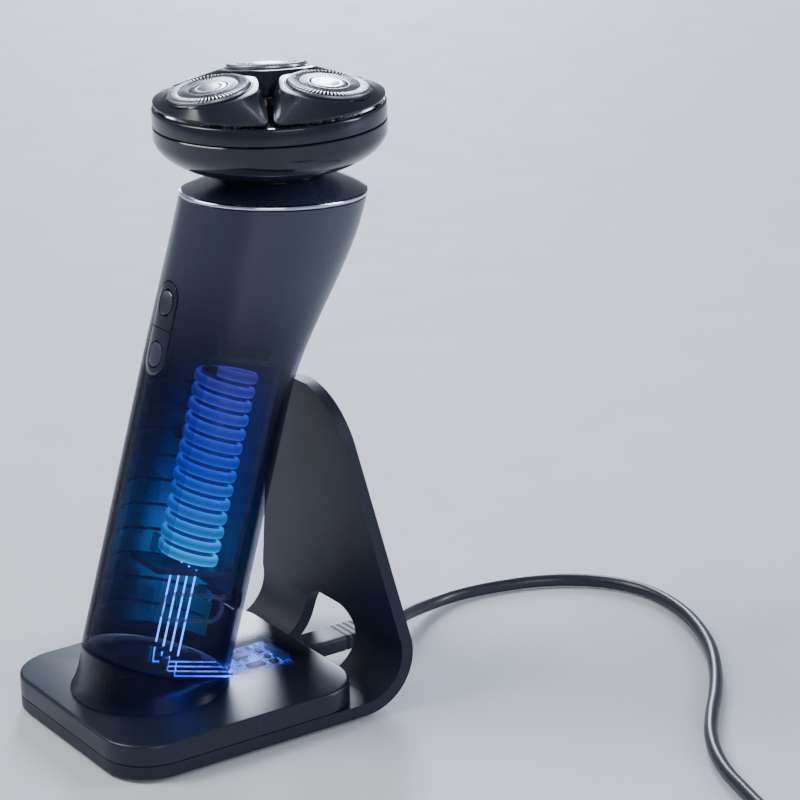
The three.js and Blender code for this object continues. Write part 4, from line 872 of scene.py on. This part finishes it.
level = ramp(coil_glow, rise, [(place, (grey, grey, grey)) for place,
                               grey in ((0, 1), (0.2, 0.75), (0.5, 0.5), (1, 0.34))])
# Painted highlight and shade: each turn's glow is brightest at its upper and lower edges and dimmest along
# its middle, to give the turns a rounded look.
turn_share = times(coil_glow, combine(coil_glow, "ARCTAN2", x, minus(coil_glow, y, LEAD_Y * MM)),
                     1 / (2 * math.pi))
height_share = times(coil_glow, minus(coil_glow, z, coil_low_z * MM), 1 / (coil_pitch * MM))
phase = combine(coil_glow, "FRACT", plus(coil_glow, minus(coil_glow, height_share, turn_share),
                                            10.5), 0)
apart = minus(coil_glow, phase, 0.5)
painted_turn_shade = plus(coil_glow, times(coil_glow, times(coil_glow, apart, apart), 4.5), 0.3)
strength = times(coil_glow, times(coil_glow, level, painted_turn_shade), 3.8)
coil_glow.node_tree.links.new(strength, shader.inputs["Emission Strength"])
shader.inputs["Coat Weight"].default_value = 0.15
piece("coil_winding", skin(wire_rings), coil_glow, "handle", ["glow_coil"], sharp=60)


# Charge leads: four stiff insulated leads stand between the bottom cap's contacts and the coil,
# lit like the coil, in line with the four leads in the dock.
for k, x in enumerate(LEAD_PLACES):
    wire = turned([(0, 2.5), (0.18, 2.5), (LEAD_HALF, 2.6), (LEAD_HALF, 26.7), (0.18, 26.85), (0, 26.85)], 16)
    piece(f"charge_wire_{k + 1}", moved(wire, DOCK @ Matrix.Translation((x, LEAD_Y, 0))), lead_glow, "handle",
          [f"charge_lead_{k + 1}"])


# Chassis and main board: a moulded frame holds the cell, and the board stands in front of it with
# its parts soldered on; both catch the coil's light through the smoked grip, and on the board that
# light is painted as a faint glow of fine lit lines.
chassis_plastic = shade("chassis_plastic", (0.035, 0.045, 0.13), 0.5, speckle=0.1, scale=1200)
dress("chassis", chassis_plastic, 0.25)
# Painted light: the main board's faint lit lines are the coil's light painted onto it as emission.
main_painted_glow = lit_board("main_painted_glow", (0.006, 0.009, 0.03), (0.03, 0.06, 0.22), 0.06, 300)
board_block = bmesh.new()
block_at(board_block, (0, -10.9, 59.5), (23, 1.2, 101), 0.12, DOCK)
piece("main_circuit", board_block, main_painted_glow, "handle", ["main_board"])
parts = bmesh.new()
for px, pz, sx, sz in ((-5, 20, 6, 6), (5, 18, 4, 7), (-6, 34, 3, 2), (4, 33, 5, 5), (-4, 47, 7, 7),
                       (6, 50, 2, 4),
                       (-6, 60, 3, 2), (2, 64, 6, 4), (-5, 74, 4, 6), (5, 76, 3, 3), (6, 106, 4, 3)):
    block_at(parts, (px, -9.85, pz), (sx, 0.9, sz), 0.1, DOCK)
smoked_chip = shade("smoked_chip", (0.02, 0.03, 0.07), 0.3, scale=1500)
piece("main_parts", parts, smoked_chip, "handle", ())
dress("tact_switch", chip_black, 0.2)
for ghost in (main_painted_glow, smoked_chip):
    see_through(ghost, 1, 0.86, (0.9, 0.93, 1.0))


# Inner liner: a dark half-round tray behind the cell with cross ribs, on which the coil's light
# is painted as a soft blue glow of its own.
liner_painted_glow = glow("liner_painted_glow", (0.02, 0.03, 0.08), 0.3)
x, y, z = handle_axes(liner_painted_glow)
# Painted light: the coil's light on the tray is painted as emission, strongest near the coil and low down.
beside = plus(liner_painted_glow, times(liner_painted_glow, x, 0.47), times(liner_painted_glow, y, 0.88))
beside = combine(liner_painted_glow, "ABSOLUTE", minus(liner_painted_glow, beside, LEAD_Y * MM), 0)
near_coil = fade(liner_painted_glow, beside, 16 * MM, 5 * MM)
low_glow = times(liner_painted_glow, fade(liner_painted_glow, z, 12 * MM, 30 * MM),
                 fade(liner_painted_glow, z, 62 * MM, 30 * MM))
tall_glow = times(liner_painted_glow, fade(liner_painted_glow, z, 105 * MM, 60 * MM), 0.2)
level = times(liner_painted_glow, plus(liner_painted_glow, low_glow, tall_glow),
                plus(liner_painted_glow, near_coil, 0.06))
shader = liner_painted_glow.node_tree.nodes["Principled BSDF"]
liner_painted_glow.node_tree.links.new(times(liner_painted_glow, level, 0.8), shader.inputs["Emission Strength"])
up_liner = times(liner_painted_glow, z, 10)
painted_glow_colour = ramp(liner_painted_glow, up_liner, [(0.3, (0.0, 0.42, 1)), (0.5, (0.0, 0.12, 0.9)),
                                              (0.8, (0.03, 0.05, 0.5))])
liner_painted_glow.node_tree.links.new(painted_glow_colour, shader.inputs["Emission Color"])
tray = [*arc((0, 0), 18.4, 106, 232, 48), *arc((0, 0), 17.7, 232, 106, 48)]
piece("liner_tray", moved(prism(tray, 5, 108), DOCK), liner_painted_glow, "handle", (),
      sharp=40)
ribs = bmesh.new()
for h in range(10, 108, 7):
    rib = prism([*arc((0, 0), 17.75, 108, 230, 40), *arc((0, 0), 16.9, 230, 108, 40)], h, h + 0.7)
    mesh = bpy.data.meshes.new("rib")
    moved(rib, DOCK).to_mesh(mesh)
    rib.free()
    ribs.from_mesh(mesh)
    bpy.data.meshes.remove(mesh)
piece("liner_ribs", ribs, chassis_plastic, "handle", (), sharp=40)


# Inner sleeve and carrier frames: a clear sleeve stands round the winding on its chassis, with two
# rounded frames above it and one below; all are moulded clear, so only their edges catch light.
clear_plastic = shade("clear_plastic", (0.25, 0.3, 0.5), 0.15, speckle=0.05, scale=900, bump=0.01)
see_through(clear_plastic, 1, 0.965, (0.98, 0.99, 1.0))
sleeve = turned([(10.2, 27.2), (10.35, 27), (11.1, 27), (11.25, 27.2), (11.25, 82.6), (11.1, 82.8),
                 (10.35, 82.8),
                 (10.2, 82.6)], 96, looped=True)
notch = prism(oblong(-9, 9, 12.5, 20), 20, 90)
piece("winding_sleeve", carve(moved(sleeve, CELL), moved(notch, DOCK)), clear_plastic, "handle", (),
      sharp=40)
frame_edge = shade("frame_edge", (0.16, 0.18, 0.28), 0.3, speckle=0.05, scale=900)
see_through(frame_edge, 1, 0.55, (0.9, 0.93, 1.0))
for k, (width, height, z, inner_wall) in enumerate(((19, 22, 97, 1.1), (11, 12, 97, 0.9), (20, 8, 18, 0.9))):
    inner_edge = rounded(width - 2 * inner_wall, height - 2 * inner_wall, 2.6)
    frame_ring = carve(prism(shifted(rounded(width, height, 4), z), 11.6, 12.6, ALONG_X),
                       prism(shifted(inner_edge, z), 11, 13, ALONG_X))
    piece(f"carrier_frame_{k + 1}", moved(frame_ring, DOCK), frame_edge, "handle", (),
          sharp=40)


# Neck: a rubber boot seals the collar round the motor. The motor stands on the head's upright line
# with its shaft reaching into the head's coupling.
NECK = Matrix.Translation((0, HEAD_Y, 0))
boot_rubber = shade("boot_rubber", (0.012, 0.013, 0.02), 0.24, coat=0.4, speckle=0.1, scale=1500, bump=0.03)
boot = turned([(8.5, 140), (11.9, 140), (12.4, 140.3), (12.6, 141), (12.6, 145.2), (12.3, 145.6),
               (12.25, 145.9),
               (12.55, 146.2), (12.6, 146.6), (12.45, 147.05), (12.1, 147.35), (11.6, 147.4), (8.5, 147.4)],
               128,
              looped=True)
piece("neck_seal", moved(boot, NECK), boot_rubber, "handle", ["neck_boot"], sharp=40)
motor_steel = shade("motor_steel", (0.45, 0.46, 0.5), 0.3, metallic=1, speckle=0.06, scale=1200)
dress("motor_can", motor_steel, 0.2)
dress("motor_bracket", chip_black, 0.2)
dress("motor_shaft", contact_gold, 0.1)


# Head housing: a gloss bowl turned up to a wide seam, and above it the band with its deck, which
# the three pods rock on. The bowl is moulded, dyed near-black and polished.
HEAD = Matrix.Translation((0, HEAD_Y, HEAD_Z))
HEAD_RADIUS = 31


def bowl_line(inset):
    """The bowl's profile from its mouth to the seam, drawn in by the wall."""
    line = [(9.5, -12.3 + inset), (13.1 - inset * 0.3, -12.3 + inset), (13.45 - inset * 0.3, -12.2 + inset)]
    for k in range(1, 29):
        a = math.pi / 2 * k / 28
        r = 13.5 + (HEAD_RADIUS - 13.5) * math.sin(a)
        line.append((r - inset * math.sin(a), -3 - 9.3 * math.cos(a) ** 1.15 + inset * math.cos(a)))
    return [*line, (HEAD_RADIUS - inset, -0.25), (HEAD_RADIUS - 0.2 - inset, 0)]


head_gloss = shade("head_gloss", (0.006, 0.008, 0.018), 0.14, coat=0.15, speckle=0.08, scale=1800, bump=0.012,
                   spread=0.04,
                   specular=0.4)
bowl = turned([*bowl_line(0), *reversed(bowl_line(1.6))], 144, looped=True)
piece("head_bowl", moved(bowl, HEAD), head_gloss, "head", ["head_shell"], sharp=36)
band_gloss = shade("band_gloss", (0.007, 0.009, 0.020), 0.16, coat=0.15, speckle=0.08, scale=1800, bump=0.012,
                   spread=0.04,
                   specular=0.4)
band = turned([(0, 0.3), (30.75, 0.3), (31, 0.5), (31, 4.3), (30.9, 4.62), (30.6, 4.85), (30.3, 4.9),
               (29.6, 4.9),
               (29.4, 4.7), (29.4, 2.2), (29.2, 2), (0, 2)], 144)
POD_CIRCLE, POD_PIVOT, POD_LEAN, HALF_GAP = 17, 5, 9, 0.8
POD_ANGLES = [math.pi + 2 * math.pi * k / 3 for k in range(3)]
for angle in POD_ANGLES:
    spot = Matrix.Translation((POD_CIRCLE * math.sin(angle), POD_CIRCLE * math.cos(angle), 0))
    band = carve(band, moved(rod(2.05, -3, 4), spot))
piece("head_band", moved(band, HEAD), band_gloss, "head", ["head_frame"], sharp=36)


# Gear train: a centre gear on the motor's square coupling turns three drive gears, whose square
# spindles turn the cutters; all are moulded in white nylon and run on the gear plate.
gear_nylon = shade("gear_nylon", (0.75, 0.75, 0.72), 0.45, speckle=0.05, scale=1100)
dress("gear_plate", chip_black, 0.1)
for node in ("centre_gear", "drive_gear_1", "drive_gear_2", "drive_gear_3"):
    dress(node, gear_nylon, 0.06)


# Pods: each carries one cutter. Its foot is a third of the head's disc, its flanks close in flat
# to a round seat for the guard, and crisp chamfers meet at the dark gaps between neighbours.
def pod_ring(shrink, height, limit=1e3, side_shrink=None, sides=192, sharpness=22):
    """A pod's outline in the head's frame: an arc outside, two straight sides, and a round limit."""
    outer_radius = HEAD_RADIUS - 0.4 - shrink
    side = POD_CIRCLE * math.sin(math.pi / 3) - HALF_GAP - (shrink if side_shrink is None else side_shrink)
    ring = []
    for i in range(sides):
        x, y = math.sin(2 * math.pi * i / sides), math.cos(2 * math.pi * i / sides)
        ahead = POD_CIRCLE * y
        arc_reach = -ahead + math.sqrt(ahead ** 2 + outer_radius ** 2 - POD_CIRCLE ** 2)
        facing_side = abs(x) * 0.5 - y * math.sin(math.pi / 3)
        side_reach = side / facing_side if facing_side > 1e-3 else 1e3
        reach = (arc_reach ** -sharpness + side_reach ** -sharpness + limit ** -sharpness) ** (-1 / sharpness)
        ring.append(FROM_POD @ Vector((x * reach, POD_CIRCLE + y * reach, height)))
    return ring


POD = Matrix.Translation((0, POD_CIRCLE, POD_PIVOT)) @ Matrix.Rotation(-math.radians(POD_LEAN), 4, "X")
FROM_POD = POD.inverted()
pod_gloss = shade("pod_gloss", (0.006, 0.008, 0.018), 0.2, coat=0.0, speckle=0.08, scale=1800, bump=0.012,
                  spread=0.04,
                  specular=0.35)
seat_profile = [(11.6, 5.35), (11.4, 5.55), (11.2, 5.6), (11.1, 5.5), (11.1, 3.4), (10.1, 3.4), (10.1, 2.4)]
pod_places = [HEAD @ Matrix.Rotation(-angle, 4, "Z") @ POD for angle in POD_ANGLES]
for k, place in enumerate(pod_places):
    low_ring = pod_ring(0, 6.4)
    high_ring = [Vector((p.x, p.y, 5.05)) for p in pod_ring(1.9, 9, limit=13.3, side_shrink=1.35)]
    flank = [[a.lerp(b, t) for a, b in zip(low_ring, high_ring)] for t in (0.02, 0.2, 0.4, 0.6, 0.8, 0.98)]
    top_ring = [p.lerp(Vector((0, 0, 5.05)), 0.012) + Vector((0, 0, 0.06)) for p in high_ring]
    pod = skin([pod_ring(0.5, 5.7), pod_ring(0.1, 5.85), pod_ring(0, 6.1), low_ring, *flank, high_ring,
                top_ring,
                *[circle(radius, z, 192) for radius, z in seat_profile]], looped=True)
    piece(f"pod_housing_{k + 1}", moved(pod, place), pod_gloss, f"pod_body_{k + 1}", [f"pod_{k + 1}"],
          sharp=24)


# Guards: each is a thin pressed steel cap, ground smooth, with two rings of fine radial slots and a
# shallow groove between; a polished disc closes its middle. Cutters spin just under the slots.
guard_steel = shade("guard_steel", (0.26, 0.27, 0.30), 0.3, metallic=1, speckle=0.06, scale=1600, bump=0.03)
guard_cap_steel = shade("guard_cap_steel", (0.36, 0.37, 0.40), 0.24, metallic=1, speckle=0.05, scale=1400,
                        bump=0.02)
cutter_steel = shade("cutter_steel", (0.035, 0.036, 0.042), 0.5, metallic=0.4, speckle=0.08, scale=1400)
tracks = [(10.8, 3.9), (10.8, 6.0), (10.68, 6.25), (10.45, 6.38), (10.2, 6.4), (8.35, 6.4), (8.25, 6.25),
          (8.1, 5.75),
          (7.9, 5.75), (7.75, 6.25), (7.65, 6.4), (5.6, 6.4), (5.25, 6.4), (5.1, 6.1)]
slot_count = 64
for k, place in enumerate(pod_places):
    guard = bmesh.new()
    grid = []
    for radius, z in tracks:
        grid.append([guard.verts.new(p * MM) for p in circle(radius, z, slot_count * 2)])
    for n, (outside, inside) in enumerate(zip(grid, grid[1:])):
        for i in range(slot_count * 2):
            j = (i + 1) % (slot_count * 2)
            if i % 2 and n in (2, 3, 4, 10):
                continue
            guard.faces.new((outside[i], inside[i], inside[j], outside[j]))
    bmesh.ops.recalc_face_normals(guard, faces=guard.faces)
    cap = piece(f"guard_ring_{k + 1}", moved(guard, place), guard_steel, f"pod_body_{k + 1}",
                [f"guard_{k + 1}"],
                sharp=50)
    wall = cap.modifiers.new("sheet", "SOLIDIFY")
    wall.thickness = 0.22 * MM
    wall.offset = 0
    disc = turned([(0, 5.5), (4.6, 5.5), (4.8, 5.6), (4.8, 6.25), (4.7, 6.42), (4.4, 6.55), (3.2, 6.62),
                   (3.0, 6.58),
                   (2.8, 6.62), (0, 6.65)], 96)
    piece(f"guard_disc_{k + 1}", moved(disc, place), guard_cap_steel, f"pod_body_{k + 1}",
          [f"guard_cap_{k + 1}"],
          sharp=30)
    dress(f"cutter_{k + 1}", cutter_steel, 0.05)


# Stage: a pale matt floor under a pale sky, one broad soft light high at the front left, a weaker
# one on the camera's side and two narrow cool ones behind that draw the edges.
def area_light(name, place, aim, width, height, power, colour):
    """A soft rectangular lamp at a place, turned to what it lights; metres and watts."""
    lamp = bpy.data.lights.new(name, "AREA")
    lamp.shape = "RECTANGLE"
    lamp.size, lamp.size_y = width, height
    lamp.energy = power
    lamp.color = colour
    holder = bpy.data.objects.new(name, lamp)
    look = Vector(aim) - Vector(place)
    holder.matrix_world = Matrix.Translation(place) @ look.to_track_quat("-Z", "Y").to_matrix().to_4x4()
    bpy.context.scene.collection.objects.link(holder)


floor_bm = bmesh.new()
bmesh.ops.create_grid(floor_bm, x_segments=24, y_segments=24, size=3)
floor_mesh = bpy.data.meshes.new("floor")
floor_bm.to_mesh(floor_mesh)
floor_bm.free()
floor = bpy.data.objects.new("floor", floor_mesh)
floor_mesh.materials.append(shade("floor_matt", (0.62, 0.64, 0.68), 0.7, speckle=0.01, scale=30, bump=0.0))
floor.location.z = -0.0002
bpy.context.scene.collection.objects.link(floor)
area_light("key", (-0.6, -0.9, 1.3), (0, 0.01, 0.09), 0.9, 0.7, 26, (1, 0.98, 0.96))
area_light("fill", (1.5, -0.3, 0.7), (0, 0.01, 0.08), 0.8, 0.8, 9, (0.92, 0.95, 1))
area_light("rim_left", (-1.5, 1.0, 0.8), (0, 0.01, 0.1), 0.35, 1.2, 34, (0.75, 0.82, 1))
area_light("rim_right", (1.0, 1.7, 0.8), (0, 0.02, 0.1), 0.4, 1.2, 26, (0.8, 0.86, 1))
world = bpy.data.worlds.new("sky")
world.use_nodes = True
world.node_tree.nodes["Background"].inputs["Color"].default_value = (0.72, 0.77, 0.86, 1)
world.node_tree.nodes["Background"].inputs["Strength"].default_value = 0.4
bpy.context.scene.world = world
